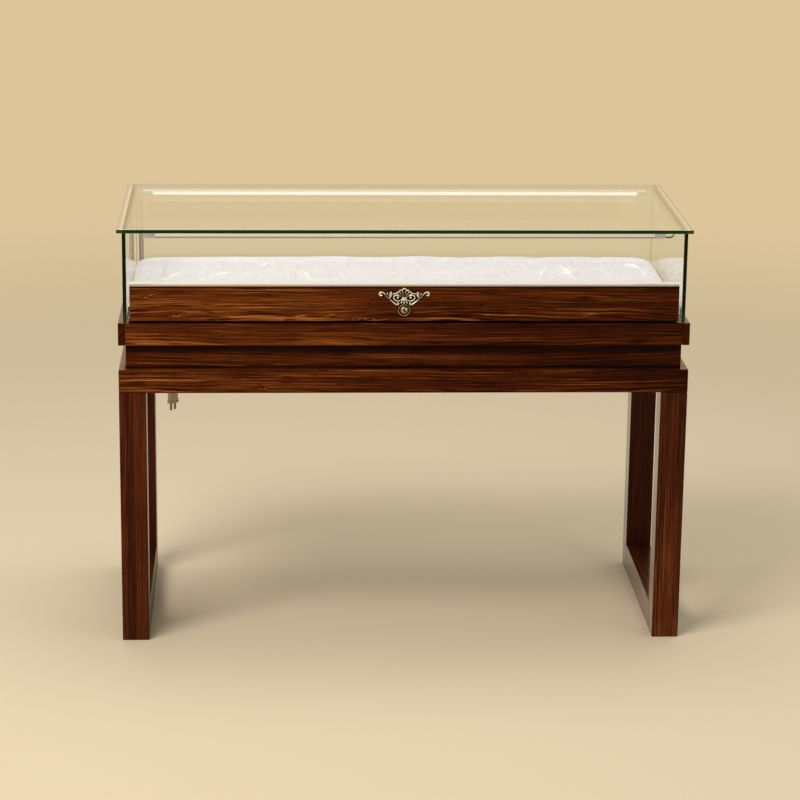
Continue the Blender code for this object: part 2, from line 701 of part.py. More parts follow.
def make_cord(case, finishes):
    jacket = finishes["cord_jacket"]
    towards_front = Matrix.Rotation(pi / 2, 3, "X")
    gland = (
        (0.0, 0.0),
        (GLAND_ROOT_RADIUS, 0.0),
        (GLAND_ROOT_RADIUS, 0.15 * GLAND_LENGTH),
        (0.75 * GLAND_ROOT_RADIUS, 0.2 * GLAND_LENGTH),
        (GLAND_TIP_RADIUS, GLAND_LENGTH),
        (0.0, GLAND_LENGTH),
    )
    root = (CORD_X, DRIVER_FRONT_Y - JOINT_GAP, GLAND_Z)
    turned("cord_gland", gland, 16, towards_front, root, case, jacket)

    tip = Vector((CORD_X, GLAND_TIP_Y, GLAND_Z))
    coil = coil_points()
    route = [tip + Vector((0.0, -forward, -down)) for forward, down in LEAD_ROUTE]
    route[0].y -= JOINT_GAP
    route[-1].z = coil[0].z + JOINT_GAP
    lead = smooth_route(route, CORD_POINT_STEP)
    tube("cord_lead", lead, CORD_DIAMETER, 2, case, jacket)
    tube("cord_coil", coil, CORD_DIAMETER, 1, case, jacket)
    print("cord_coil least gap to itself %.2f mm" % (least_gap(coil, LOOP_POINTS // 2, CORD_DIAMETER) / MM))

    start = coil[-1] - Vector((0.0, 0.0, JOINT_GAP))
    steps = round(TAIL_LENGTH / CORD_POINT_STEP)
    tail = [start - Vector((0.0, 0.0, TAIL_LENGTH * index / steps)) for index in range(steps + 1)]
    tube("cord_tail", tail, CORD_DIAMETER, 2, case, jacket)
    print("mains cord length %.3f m" % (path_length(lead) + path_length(coil) + path_length(tail)))
    make_tie(case, finishes)
    make_plug(tail[-1] - Vector((0.0, 0.0, JOINT_GAP)), case, finishes)


def make_tie(case, finishes):
    """A strap round the top of the coil, with a foot under the base board."""
    half = LOOP_PITCH / 2 + CORD_DIAMETER / 2 + TIE_CLEARANCE
    inner_radius = LOOP_OUTER_RADIUS - LOOP_PITCH * LOOP_COUNT / 2 - CORD_DIAMETER / 2
    low = sqrt(inner_radius**2 - (TIE_WIDTH / 2) ** 2) - TIE_CLEARANCE
    high = LOOP_OUTER_RADIUS + CORD_DIAMETER / 2 + TIE_CLEARANCE
    foot = COIL_DROP - JOINT_GAP
    outer = half + TIE_BAND
    right_side = [
        (outer, low - TIE_BAND),
        (outer, high + TIE_BAND),
        (TIE_STEM / 2, high + TIE_BAND),
        (TIE_STEM / 2, foot - TIE_BAND),
        (TIE_FOOT_DEPTH / 2, foot - TIE_BAND),
        (TIE_FOOT_DEPTH / 2, foot),
    ]
    left_side = [(-across, up) for across, up in reversed(right_side)]
    hole = [(-half, low), (half, low), (half, high), (-half, high)]
    place = (CORD_X + LOOP_OUTER_RADIUS - TIE_WIDTH / 2, COIL_Y, COIL_Z)
    extruded("cord_tie", [right_side + left_side, hole], "X", TIE_WIDTH, place, case, finishes["wire_jacket"])


def rounded_ring(bm, half_length, half_depth, squareness, height):
    """A ring of points between an ellipse and a rectangle, turned as the plug is."""
    points = []
    sides = 20
    for index in range(sides):
        angle = 2 * pi * index / sides
        along = half_length * abs(cos(angle)) ** (2 / squareness) * (1 if cos(angle) >= 0 else -1)
        aside = half_depth * abs(sin(angle)) ** (2 / squareness) * (1 if sin(angle) >= 0 else -1)
        points.append(bm.verts.new((along, aside, height)))
    return points


def make_plug(top, case, finishes):
    """A moulded two-pin plug lofted through its sections, pins down, with a ribbed sleeve for the cord."""
    sleeve = CORD_DIAMETER / 2 + 0.0012
    half_length = PLUG_LENGTH / 2
    half_depth = PLUG_DEPTH / 2
    sections = [
        (half_length, half_depth, 4.0, 0.0),
        (half_length, half_depth, 4.0, 0.07 * PLUG_HEIGHT),
        (0.91 * half_length, 0.91 * half_depth, 3.6, 0.10 * PLUG_HEIGHT),
        (0.88 * half_length, 0.88 * half_depth, 3.4, 0.40 * PLUG_HEIGHT),
        (0.60 * half_length, 0.70 * half_depth, 2.8, 0.55 * PLUG_HEIGHT),
        (1.30 * sleeve, 1.30 * sleeve, 2.0, 0.64 * PLUG_HEIGHT),
    ]
    for index in range(3):
        start = (0.68 + 0.10 * index) * PLUG_HEIGHT
        sections.append((0.92 * sleeve, 0.92 * sleeve, 2.0, start))
        sections.append((1.16 * sleeve, 1.16 * sleeve, 2.0, start + 0.03 * PLUG_HEIGHT))
        sections.append((1.12 * sleeve, 1.12 * sleeve, 2.0, start + 0.06 * PLUG_HEIGHT))
    sections.append((0.95 * sleeve, 0.95 * sleeve, 2.0, PLUG_HEIGHT))
    bm = bmesh.new()
    rings = [rounded_ring(bm, *section) for section in sections]
    for lower, upper in zip(rings, rings[1:]):
        for index in range(len(lower)):
            after = (index + 1) % len(lower)
            bm.faces.new((lower[index], lower[after], upper[after], upper[index]))
    bm.faces.new(reversed(rings[0]))
    bm.faces.new(rings[-1])
    data = mesh_from(bm, "plug_body")
    smooth_round(data)
    foot = top - Vector((0.0, 0.0, PLUG_HEIGHT))
    plug = add_object("plug_body", data, foot, case, finishes["plug_shell"])
    plug.rotation_euler.z = PLUG_TURN
    for name, sign in (("plug_pin_left", -1), ("plug_pin_right", 1)):
        half = Vector((PIN_THICKNESS / 2, PIN_WIDTH / 2, PIN_LENGTH / 2))
        offset = Matrix.Rotation(PLUG_TURN, 3, "Z") @ Vector((sign * PIN_SPACING / 2, 0.0, 0.0))
        centre = foot + offset - Vector((0.0, 0.0, JOINT_GAP + PIN_LENGTH / 2))
        pin = block(name, centre - half, centre + half, case, finishes["pin_brass"], PIN_THICKNESS / 4)
        pin.rotation_euler.z = PLUG_TURN


def fixed_slide_outline():
    half = SLIDE_WIDTH / 2
    inner = half - SLIDE_SHEET
    lip = inner - SLIDE_LIP
    low = BASE_TOP + JOINT_GAP
    high = low + SLIDE_HEIGHT
    right = [
        (half, low),
        (half, high),
        (lip, high),
        (lip, high - SLIDE_SHEET),
        (inner, high - SLIDE_SHEET),
        (inner, low + SLIDE_SHEET),
    ]
    return right + [(-across, up) for across, up in reversed(right)]


def middle_slide_outline():
    half = SLIDE_WIDTH / 2 - SLIDE_SHEET - SLIDE_RUN_GAP
    inner = half - SLIDE_SHEET
    lip = inner - SLIDE_LIP
    low = CARCASS_TOP + SLIDE_SILL_CLEARANCE
    high = BASE_TOP + JOINT_GAP + SLIDE_HEIGHT - SLIDE_SHEET - SLIDE_RUN_GAP
    right = [
        (half, low),
        (half, high),
        (lip, high),
        (lip, high - SLIDE_SHEET),
        (inner, high - SLIDE_SHEET),
        (inner, low + SLIDE_SHEET),
    ]
    return right + [(-across, up) for across, up in reversed(right)]


def drawer_slide_outline():
    half = SLIDE_WIDTH / 2 - 2 * SLIDE_SHEET - 2 * SLIDE_RUN_GAP
    neck = half + SLIDE_RUN_GAP - SLIDE_LIP - SLIDE_RUN_GAP
    low = CARCASS_TOP + SLIDE_SILL_CLEARANCE + SLIDE_SHEET + SLIDE_RUN_GAP
    shoulder = BASE_TOP + JOINT_GAP + SLIDE_HEIGHT - 2 * SLIDE_SHEET - 2 * SLIDE_RUN_GAP
    top = DECK_UNDERSIDE - JOINT_GAP
    right = [
        (half - SLIDE_SHEET, low),
        (half, low),
        (half, shoulder),
        (neck, shoulder),
        (neck, top),
    ]
    inside = [
        (neck - SLIDE_SHEET, top - SLIDE_SHEET),
        (neck - SLIDE_SHEET, shoulder - SLIDE_SHEET),
        (half - SLIDE_SHEET, shoulder - SLIDE_SHEET),
    ]
    left = [(-across, up) for across, up in reversed(right)]
    left_inside = [(-across, up) for across, up in reversed(inside)]
    return right + left + left_inside + inside


def make_slides(case, drawer, finishes):
    steel = finishes["slide_steel"]
    start_y = -CARCASS_INNER_Y + SLIDE_END_GAP
    length = 2 * (CARCASS_INNER_Y - SLIDE_END_GAP)
    for side, sign in (("left", -1), ("right", 1)):
        place = (sign * SLIDE_X, start_y, 0)
        middle = body_origin("slide_middle_origin_" + side, place, case)
        extruded("slide_fixed_" + side, [fixed_slide_outline()], "Y", length, place, case, steel)
        extruded("slide_middle_" + side, [middle_slide_outline()], "Y", length, place, middle, steel)
        extruded("slide_drawer_" + side, [drawer_slide_outline()], "Y", length, place, drawer, steel)


def make_drawer(drawer, finishes):
    wood = finishes["stained_wood"]
    low = (-DRAWER_HALF, DRAWER_FACE_Y, DRAWER_BOTTOM)
    front = block("drawer_front", low, (DRAWER_HALF, DRAWER_INSIDE_Y, DRAWER_TOP), drawer, wood)
    bore_centre = (LOCK_X, (DRAWER_FACE_Y + DRAWER_INSIDE_Y) / 2, LOCK_Z)
    bore_length = 2 * DRAWER_FRONT_THICKNESS
    bore_radius = LOCK_BARREL_RADIUS + JOINT_GAP
    cut(front, cutter_cylinder("lock_bore", bore_radius, bore_length, bore_centre, drawer))

    board = finishes["deck_board"]
    deck_front = DRAWER_INSIDE_Y + JOINT_GAP
    low = (-DECK_HALF, deck_front, DECK_UNDERSIDE)
    deck = block("drawer_deck", low, (DECK_HALF, DECK_REAR_Y, DECK_TOP), drawer, board, DECK_EDGE)
    notch_left = LOCK_X - CAM_HUB_RADIUS - CAM_CLEARANCE
    notch_right = LOCK_X + CAM_REACH + CAM_CLEARANCE
    notch_low = (notch_left, DRAWER_INSIDE_Y - DECK_THICKNESS, DECK_UNDERSIDE - DECK_THICKNESS)
    notch_high = (notch_right, NOTCH_REAR_Y, DECK_TOP + DECK_THICKNESS)
    cut(deck, cutter_block("cam_notch", notch_low, notch_high, drawer))

    rail_top = DECK_UNDERSIDE - JOINT_GAP
    for side, left in (("left", -DECK_HALF), ("right", DECK_HALF - DRAWER_RAIL_WIDTH)):
        low = (left, deck_front, DRAWER_BOTTOM)
        high = (left + DRAWER_RAIL_WIDTH, DECK_REAR_Y, rail_top)
        block("drawer_side_" + side, low, high, drawer, board, edge=0)
    reach = SLIDE_X - SLIDE_WIDTH / 2 - SLIDE_BACK_RAIL_CLEARANCE
    low = (-reach, DECK_REAR_Y - DRAWER_RAIL_WIDTH, DRAWER_BOTTOM)
    block("drawer_back", low, (reach, DECK_REAR_Y, rail_top), drawer, board, edge=0)


def make_lock(neck_front, case, drawer, lock_axis, finishes):
    brass = finishes["lock_brass"]
    along_y = Matrix.Rotation(-pi / 2, 3, "X")
    bore = PLUG_RADIUS + PLUG_RUN_CLEARANCE
    face = DRAWER_FACE_Y - LOCK_PROUD
    shoulder = LOCK_PROUD - JOINT_GAP
    rear = LOCK_PROUD + DRAWER_FRONT_THICKNESS + LOCK_TAIL
    housing = (
        (bore, 0.0),
        (LOCK_FACE_RADIUS - 0.0004, 0.0),
        (LOCK_FACE_RADIUS, 0.0004),
        (LOCK_FACE_RADIUS, LOCK_FACE_RISE),
        (LOCK_FLANGE_RADIUS, LOCK_FACE_RISE),
        (LOCK_FLANGE_RADIUS, shoulder),
        (LOCK_BARREL_RADIUS, shoulder),
        (LOCK_BARREL_RADIUS, rear),
        (bore, rear),
    )
    turned("lock_housing", housing, LOCK_SIDES, along_y, (LOCK_X, face, LOCK_Z), drawer, brass)

    plug = (
        (0.0, 0.0),
        (PLUG_RADIUS - 0.0004, 0.0),
        (PLUG_RADIUS, 0.0004),
        (PLUG_RADIUS, rear),
        (0.0, rear),
    )
    core = turned("lock_plug", plug, LOCK_SIDES, along_y, (LOCK_X, face + JOINT_GAP, LOCK_Z), lock_axis, brass)
    low = (LOCK_X - KEYWAY_WIDTH / 2, face - KEYWAY_DEPTH, LOCK_Z - KEYWAY_LENGTH / 2)
    high = (LOCK_X + KEYWAY_WIDTH / 2, face + JOINT_GAP + KEYWAY_DEPTH, LOCK_Z + KEYWAY_LENGTH / 2)
    cut(core, cutter_block("keyway", low, high, lock_axis))

    steps = 12
    tilt = CAM_HALF_WIDTH / CAM_HUB_RADIUS
    hub_reach = CAM_HUB_RADIUS * sqrt(1 - tilt**2)
    arm = [(CAM_REACH, -CAM_HALF_WIDTH), (CAM_REACH, CAM_HALF_WIDTH), (hub_reach, CAM_HALF_WIDTH)]
    hub = []
    for index in range(1, steps):
        angle = radians(45) + radians(270) * index / steps
        hub.append((CAM_HUB_RADIUS * cos(angle), CAM_HUB_RADIUS * sin(angle)))
    cam = arm + hub + [(hub_reach, -CAM_HALF_WIDTH)]
    place = (LOCK_X, CAM_FRONT_Y, LOCK_Z)
    extruded("lock_cam", [cam], "Y", CAM_THICKNESS, place, lock_axis, finishes["slide_steel"])

    recess_floor = CARCASS_TOP - STRIKE_THICKNESS - JOINT_GAP
    plate_low = (MORTISE_LEFT - STRIKE_END_MARGIN, MORTISE_FRONT_Y - STRIKE_SIDE_MARGIN)
    plate_high = (MORTISE_RIGHT + STRIKE_END_MARGIN, MORTISE_REAR_Y + STRIKE_SIDE_MARGIN)
    low = (plate_low[0] - JOINT_GAP, plate_low[1] - JOINT_GAP, recess_floor)
    high = (plate_high[0] + JOINT_GAP, plate_high[1] + JOINT_GAP, CARCASS_TOP + STRIKE_THICKNESS)
    cut(neck_front, cutter_block("strike_recess", low, high, case))
    mortise_floor = CARCASS_TOP - CAM_ENGAGEMENT - CAM_CLEARANCE
    low = (MORTISE_LEFT, MORTISE_FRONT_Y, mortise_floor)
    high = (MORTISE_RIGHT, MORTISE_REAR_Y, CARCASS_TOP + STRIKE_THICKNESS)
    cut(neck_front, cutter_block("cam_mortise", low, high, case))
    plate = [plate_low, (plate_high[0], plate_low[1]), plate_high, (plate_low[0], plate_high[1])]
    slot = [
        (MORTISE_LEFT, MORTISE_FRONT_Y),
        (MORTISE_RIGHT, MORTISE_FRONT_Y),
        (MORTISE_RIGHT, MORTISE_REAR_Y),
        (MORTISE_LEFT, MORTISE_REAR_Y),
    ]
    place = (0, 0, recess_floor + JOINT_GAP)
    extruded("lock_strike", [plate, slot], "Z", STRIKE_THICKNESS, place, case, finishes["slide_steel"])


def spaced_outline(points, spacing):
    """A smooth run through points, read off about a spacing apart."""
    route = smooth_route([Vector((*point, 0.0)) for point in points], spacing)
    return [(point.x, point.y) for point in route]


def teardrop(centre, length, width, tilt):
    points = []
    for index in range(TEARDROP_POINTS):
        angle = 2 * pi * index / TEARDROP_POINTS
        along = length / 2 * cos(angle)
        aside = width / 2 * sin(angle) * (1 - 0.45 * cos(angle))
        across = centre[0] + along * cos(tilt) - aside * sin(tilt)
        up = centre[1] + along * sin(tilt) + aside * cos(tilt)
        points.append((across * MM, up * MM))
    return points


def ring_arc(radius, first, last, steps):
    points = []
    for index in range(steps + 1):
        angle = first + (last - first) * index / steps
        points.append((radius * cos(angle), radius * sin(angle)))
    return points


def make_escutcheon(drawer, finishes):
    """A pierced scroll plate: a fan between two leafy wings, over the ring that surrounds the lock."""
    bore = LOCK_FLANGE_RADIUS + JOINT_GAP
    outer = bore + RING_BAND
    ring = ring_arc(outer, -pi / 2, RING_LAST_ANGLE, 14)
    wing = [(across * MM, up * MM) for across, up in spaced_outline(WING_OUTLINE, 2.4)]
    right = ring + wing
    left = [(-across, up) for across, up in reversed(right[1:])]
    outline = right + [(PEAK[0] * MM, PEAK[1] * MM)] + left
    holes = [ring_arc(bore, 0, 2 * pi * (1 - 1 / LOCK_SIDES), LOCK_SIDES - 1)]
    holes.append(teardrop(*PEAK_PIERCING))
    for centre, length, width, tilt in WING_PIERCINGS:
        holes.append(teardrop(centre, length, width, tilt))
        holes.append(teardrop((-centre[0], centre[1]), length, width, pi - tilt))
    place = (LOCK_X, DRAWER_FACE_Y - JOINT_GAP - ESCUTCHEON_THICKNESS, LOCK_Z)
    bronze = finishes["bronze"]
    extruded("escutcheon", [outline] + holes, "Y", ESCUTCHEON_THICKNESS, place, drawer, bronze)


def fold_height(across, along):
    """Lift of the cloth over the deck: broad slanting folds, and a rise towards the rear pane."""
    slant = 2 * pi * (across / 0.31 + along / 0.42)
    counter = 2 * pi * (across / 0.23 - along / 0.30 + 0.2)
    soft = 2 * pi * (across / 0.87 + 0.1)
    folds = (0.5 + 0.5 * sin(slant)) ** 3 + 0.7 * (0.5 + 0.5 * sin(counter)) ** 4
    lift = CLOTH_FOLD_HEIGHT * folds * (0.65 + 0.35 * sin(soft)) / 1.7
    rear = max(0.0, 1 - (DECK_REAR_Y - along) / CLOTH_REAR_REACH)
    edge = min(1.0, max(0.0, (DECK_HALF - abs(across)) / 0.06))
    return (lift + CLOTH_REAR_RISE * rear**2) * edge * edge * (3 - 2 * edge)


def cloth_section():
    """Points across the cloth as (across, height above the deck), from the left skirt to the right one."""
    flat_half = DECK_HALF - DECK_EDGE
    corner = DECK_EDGE + JOINT_GAP
    right = []
    for index in range(CLOTH_COLUMNS // 2 + 1):
        right.append((flat_half * 2 * index / CLOTH_COLUMNS, JOINT_GAP))
    for turn in (radians(45), radians(90)):
        right.append((flat_half + corner * sin(turn), corner * cos(turn) - DECK_EDGE))
    for share in (0.5, 1.0):
        right.append((flat_half + corner, -DECK_EDGE - CLOTH_SKIRT * share))
    return [(-across, height) for across, height in reversed(right[1:])] + right


def make_cloth(drawer, finishes):
    front = NOTCH_REAR_Y + CLOTH_FRONT_MARGIN
    section = cloth_section()
    bm = bmesh.new()
    rows = []
    for index in range(CLOTH_ROWS + 1):
        along = front + (DECK_REAR_Y - front) * index / CLOTH_ROWS
        row = []
        for across, height in section:
            lift = fold_height(across, along)
            row.append(bm.verts.new((across, along, DECK_TOP + height + lift)))
        rows.append(row)
    for near, far in zip(rows, rows[1:]):
        for index in range(len(section) - 1):
            bm.faces.new((near[index], near[index + 1], far[index + 1], far[index]))
    data = mesh_from(bm, "display_cloth")
    if data.polygons[0].normal.x > 0:
        data.flip_normals()
    data.shade_smooth()
    cloth = add_object("display_cloth", data, (0, 0, 0), drawer, finishes["satin"])
    wall = cloth.modifiers.new("wall", "SOLIDIFY")
    wall.thickness = CLOTH_THICKNESS
    wall.offset = 1.0


def main():
    clear_scene()
    finishes = make_finishes()
    case = body_origin("case_origin", (0, 0, 0))
    drawer = body_origin("drawer_origin", (0, DRAWER_FACE_Y, DRAWER_BOTTOM), case)
    lock_axis = body_origin("lock_axis", (LOCK_X, DRAWER_FACE_Y, LOCK_Z), drawer)
    make_stand(case, finishes)
    neck_front = make_carcass(case, finishes)
    make_cap(case, finishes)
    make_glass(case, finishes)
    make_lights(case, finishes)
    make_driver(case, finishes)
    make_cord(case, finishes)
    make_slides(case, drawer, finishes)
    make_drawer(drawer, finishes)
    make_lock(neck_front, case, drawer, lock_axis, finishes)
    make_escutcheon(drawer, finishes)
    make_cloth(drawer, finishes)


main()
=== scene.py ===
"""Looks of the glass-topped jewellery case: stained wood, clear glass, creased satin, cast bronze and its mains cord.

Metres, +Z up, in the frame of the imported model. The drawer opens towards -Y.
"""
from math import cos, exp, pi, sin

import bmesh
import bpy
from mathutils import Matrix, Vector, noise


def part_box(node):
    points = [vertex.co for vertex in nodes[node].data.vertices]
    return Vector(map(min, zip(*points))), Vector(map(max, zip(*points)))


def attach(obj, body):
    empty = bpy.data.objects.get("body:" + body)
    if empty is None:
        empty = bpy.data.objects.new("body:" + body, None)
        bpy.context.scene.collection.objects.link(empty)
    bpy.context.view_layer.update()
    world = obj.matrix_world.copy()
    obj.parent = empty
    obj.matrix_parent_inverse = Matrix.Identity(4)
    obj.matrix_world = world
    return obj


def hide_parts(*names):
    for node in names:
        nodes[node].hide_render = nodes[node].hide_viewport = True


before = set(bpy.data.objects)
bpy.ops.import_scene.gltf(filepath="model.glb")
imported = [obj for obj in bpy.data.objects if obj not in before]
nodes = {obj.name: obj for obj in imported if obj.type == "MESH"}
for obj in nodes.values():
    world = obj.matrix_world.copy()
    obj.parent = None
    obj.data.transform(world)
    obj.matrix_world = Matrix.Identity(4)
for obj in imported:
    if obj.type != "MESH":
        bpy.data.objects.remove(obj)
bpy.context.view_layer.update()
MM = 0.001


def make_camera():
    """The photo's camera, fitted to the edges of the case."""
    yaw = 0.05171
    pitch = 0.26979
    roll = 0.0118
    place = (-0.29449, -5.75482, 2.05892)
    focal_pixels = 2712.84
    photo_pixels = 800
    ahead = Vector((sin(yaw) * cos(pitch), cos(yaw) * cos(pitch), -sin(pitch)))
    level = Vector((cos(yaw), -sin(yaw), 0.0))
    upright = level.cross(ahead)
    right = level * cos(roll) + upright * sin(roll)
    up = upright * cos(roll) - level * sin(roll)
    data = bpy.data.cameras.new("camera")
    data.sensor_width = 36.0
    data.lens = focal_pixels * data.sensor_width / photo_pixels
    camera = bpy.data.objects.new("camera", data)
    bpy.context.scene.collection.objects.link(camera)
    turn = Matrix((right, up, -ahead)).transposed()
    camera.matrix_world = Matrix.Translation(place) @ turn.to_4x4()
    bpy.context.scene.camera = camera


class Value:
    """An output of a node. Python's operators on it add Math nodes."""

    def __init__(self, tree, socket):
        self.tree = tree
        self.socket = socket

    def math(self, operation, *values):
        """A Math node on the values."""
        sockets = dict(enumerate(values))
        return self.tree.node("ShaderNodeMath", {"operation": operation}, sockets)

    def __add__(self, other):
        return self.math("ADD", self, other)

    def __sub__(self, other):
        return self.math("SUBTRACT", self, other)

    def __mul__(self, other):
        return self.math("MULTIPLY", self, other)

    def __truediv__(self, other):
        return self.math("DIVIDE", self, other)

    def __pow__(self, other):
        return self.math("POWER", self, other)

    def __gt__(self, other):
        return self.math("GREATER_THAN", self, other)

    def __abs__(self):
        return self.math("ABSOLUTE", self)

    def __radd__(self, other):
        return self.math("ADD", other, self)

    def __rsub__(self, other):
        return self.math("SUBTRACT", other, self)

    def __rmul__(self, other):
        return self.math("MULTIPLY", other, self)

    def __rtruediv__(self, other):
        return self.math("DIVIDE", other, self)

    def __rpow__(self, other):
        return self.math("POWER", other, self)

    def root(self):
        """The square root of the value."""
        return self.math("SQRT", self)

    def swell(self):
        """e to the power of the value."""
        return self.math("EXPONENT", self)

    def step(self, low, high):
        """0 below low and 1 above high, smooth between."""
        settings = {"interpolation_type": "SMOOTHSTEP"}
        sockets = {"Value": self, "From Min": low, "From Max": high}
        return self.tree.node("ShaderNodeMapRange", settings, sockets)


class NodeTree:
    """The nodes of a material or of the world, added one call at a time."""

    def __init__(self, owner):
        owner.use_nodes = True
        self.tree = owner.node_tree
        self.tree.nodes.clear()

    def node(self, kind, settings=None, sockets=None, out=0):
        """Adds a node, sets it up, fills its sockets or links them to values, and returns one of its outputs."""
        made = self.tree.nodes.new(kind)
        for name, value in (settings or {}).items():
            if name == "stops":
                ramp = made.color_ramp
                for place, colour in value[1:-1]:
                    ramp.elements.new(place).color = (*colour, 1.0)
                for index, (place, colour) in ((0, value[0]), (-1, value[-1])):
                    ramp.elements[index].position = place
                    ramp.elements[index].color = (*colour, 1.0)
            else:
                setattr(made, name, value)
        for name, value in (sockets or {}).items():
            if isinstance(value, Value):
                self.tree.links.new(value.socket, made.inputs[name])
            else:
                made.inputs[name].default_value = value
        return Value(self, made.outputs[out]) if made.outputs else None


class Finish(NodeTree):
    """A material, with the patterns and shaders that finishes are made of."""

    def __init__(self, name):
        self.material = bpy.data.materials.new(name)
        super().__init__(self.material)

    def place(self):
        """Where the shaded point is on the piece."""
        return self.node("ShaderNodeTexCoord", out="Object")

    def parts(self, vector):
        """The X, Y and Z of a vector."""
        split = self.node("ShaderNodeSeparateXYZ", sockets={"Vector": vector})
        outputs = split.socket.node.outputs
        return [Value(self, socket) for socket in outputs]

    def joined(self, across, along, depth=0.0):
        """A vector made of its parts."""
        return self.node("ShaderNodeCombineXYZ", sockets={"X": across, "Y": along, "Z": depth})

    def speckle(self, vector, scale, detail, roughness=0.5, dimensions="3D"):
        """A noise from 0 to 1."""
        settings = {"noise_dimensions": dimensions}
        sockets = {"Vector": vector, "Scale": scale, "Detail": detail, "Roughness": roughness}
        return self.node("ShaderNodeTexNoise", settings, sockets)

    def blended(self, share, first, second):
        """The first colour at a share of 0, the second at 1, and a mix between."""
        first = first if isinstance(first, Value) else (*first, 1.0)
        second = second if isinstance(second, Value) else (*second, 1.0)
        return self.node("ShaderNodeMix", {"data_type": "RGBA"}, {0: share, 6: first, 7: second}, out=2)

    def ramp(self, value, stops):
        """The value's colour between stops of (place, colour)."""
        return self.node("ShaderNodeValToRGB", {"stops": stops}, {"Fac": value})

    def bump(self, height, distance, strength=1.0):
        """A normal that makes the height look like relief."""
        sockets = {"Height": height, "Distance": distance, "Strength": strength}
        return self.node("ShaderNodeBump", sockets=sockets)

    def principled(self, **sockets):
        """A surface shader. An underscore stands for a space in a socket's name."""
        named = {name.replace("_", " "): value for name, value in sockets.items()}
        return self.node("ShaderNodeBsdfPrincipled", sockets=named)

    def show(self, shader):
        """Gives the material its shader and returns it finished."""
        self.node("ShaderNodeOutputMaterial", sockets={"Surface": shader})
        return self.material


GRAIN_TURNS = {
    "X": (0.0, 0.0, 0.0),
    "Y": (0.0, 0.0, -pi / 2),
    "Z": (0.0, pi / 2, 0.0),
}
STAIN = (
    (0.16, (0.006, 0.0009, 0.0001)),
    (0.38, (0.032, 0.0045, 0.0003)),
    (0.52, (0.080, 0.0145, 0.0010)),
    (0.66, (0.175, 0.0455, 0.0065)),
    (0.84, (0.380, 0.1220, 0.0240)),
)
ARRIS_HIGHLIGHT = (0.72, 0.62, 0.52)


def soft_oval(run, rise, length, thickness):
    """1 in the middle of an oval on two values of a finish, fading smoothly outwards."""
    return (((run / length) ** 2.0 + (rise / thickness) ** 2.0) * -1.0).swell()


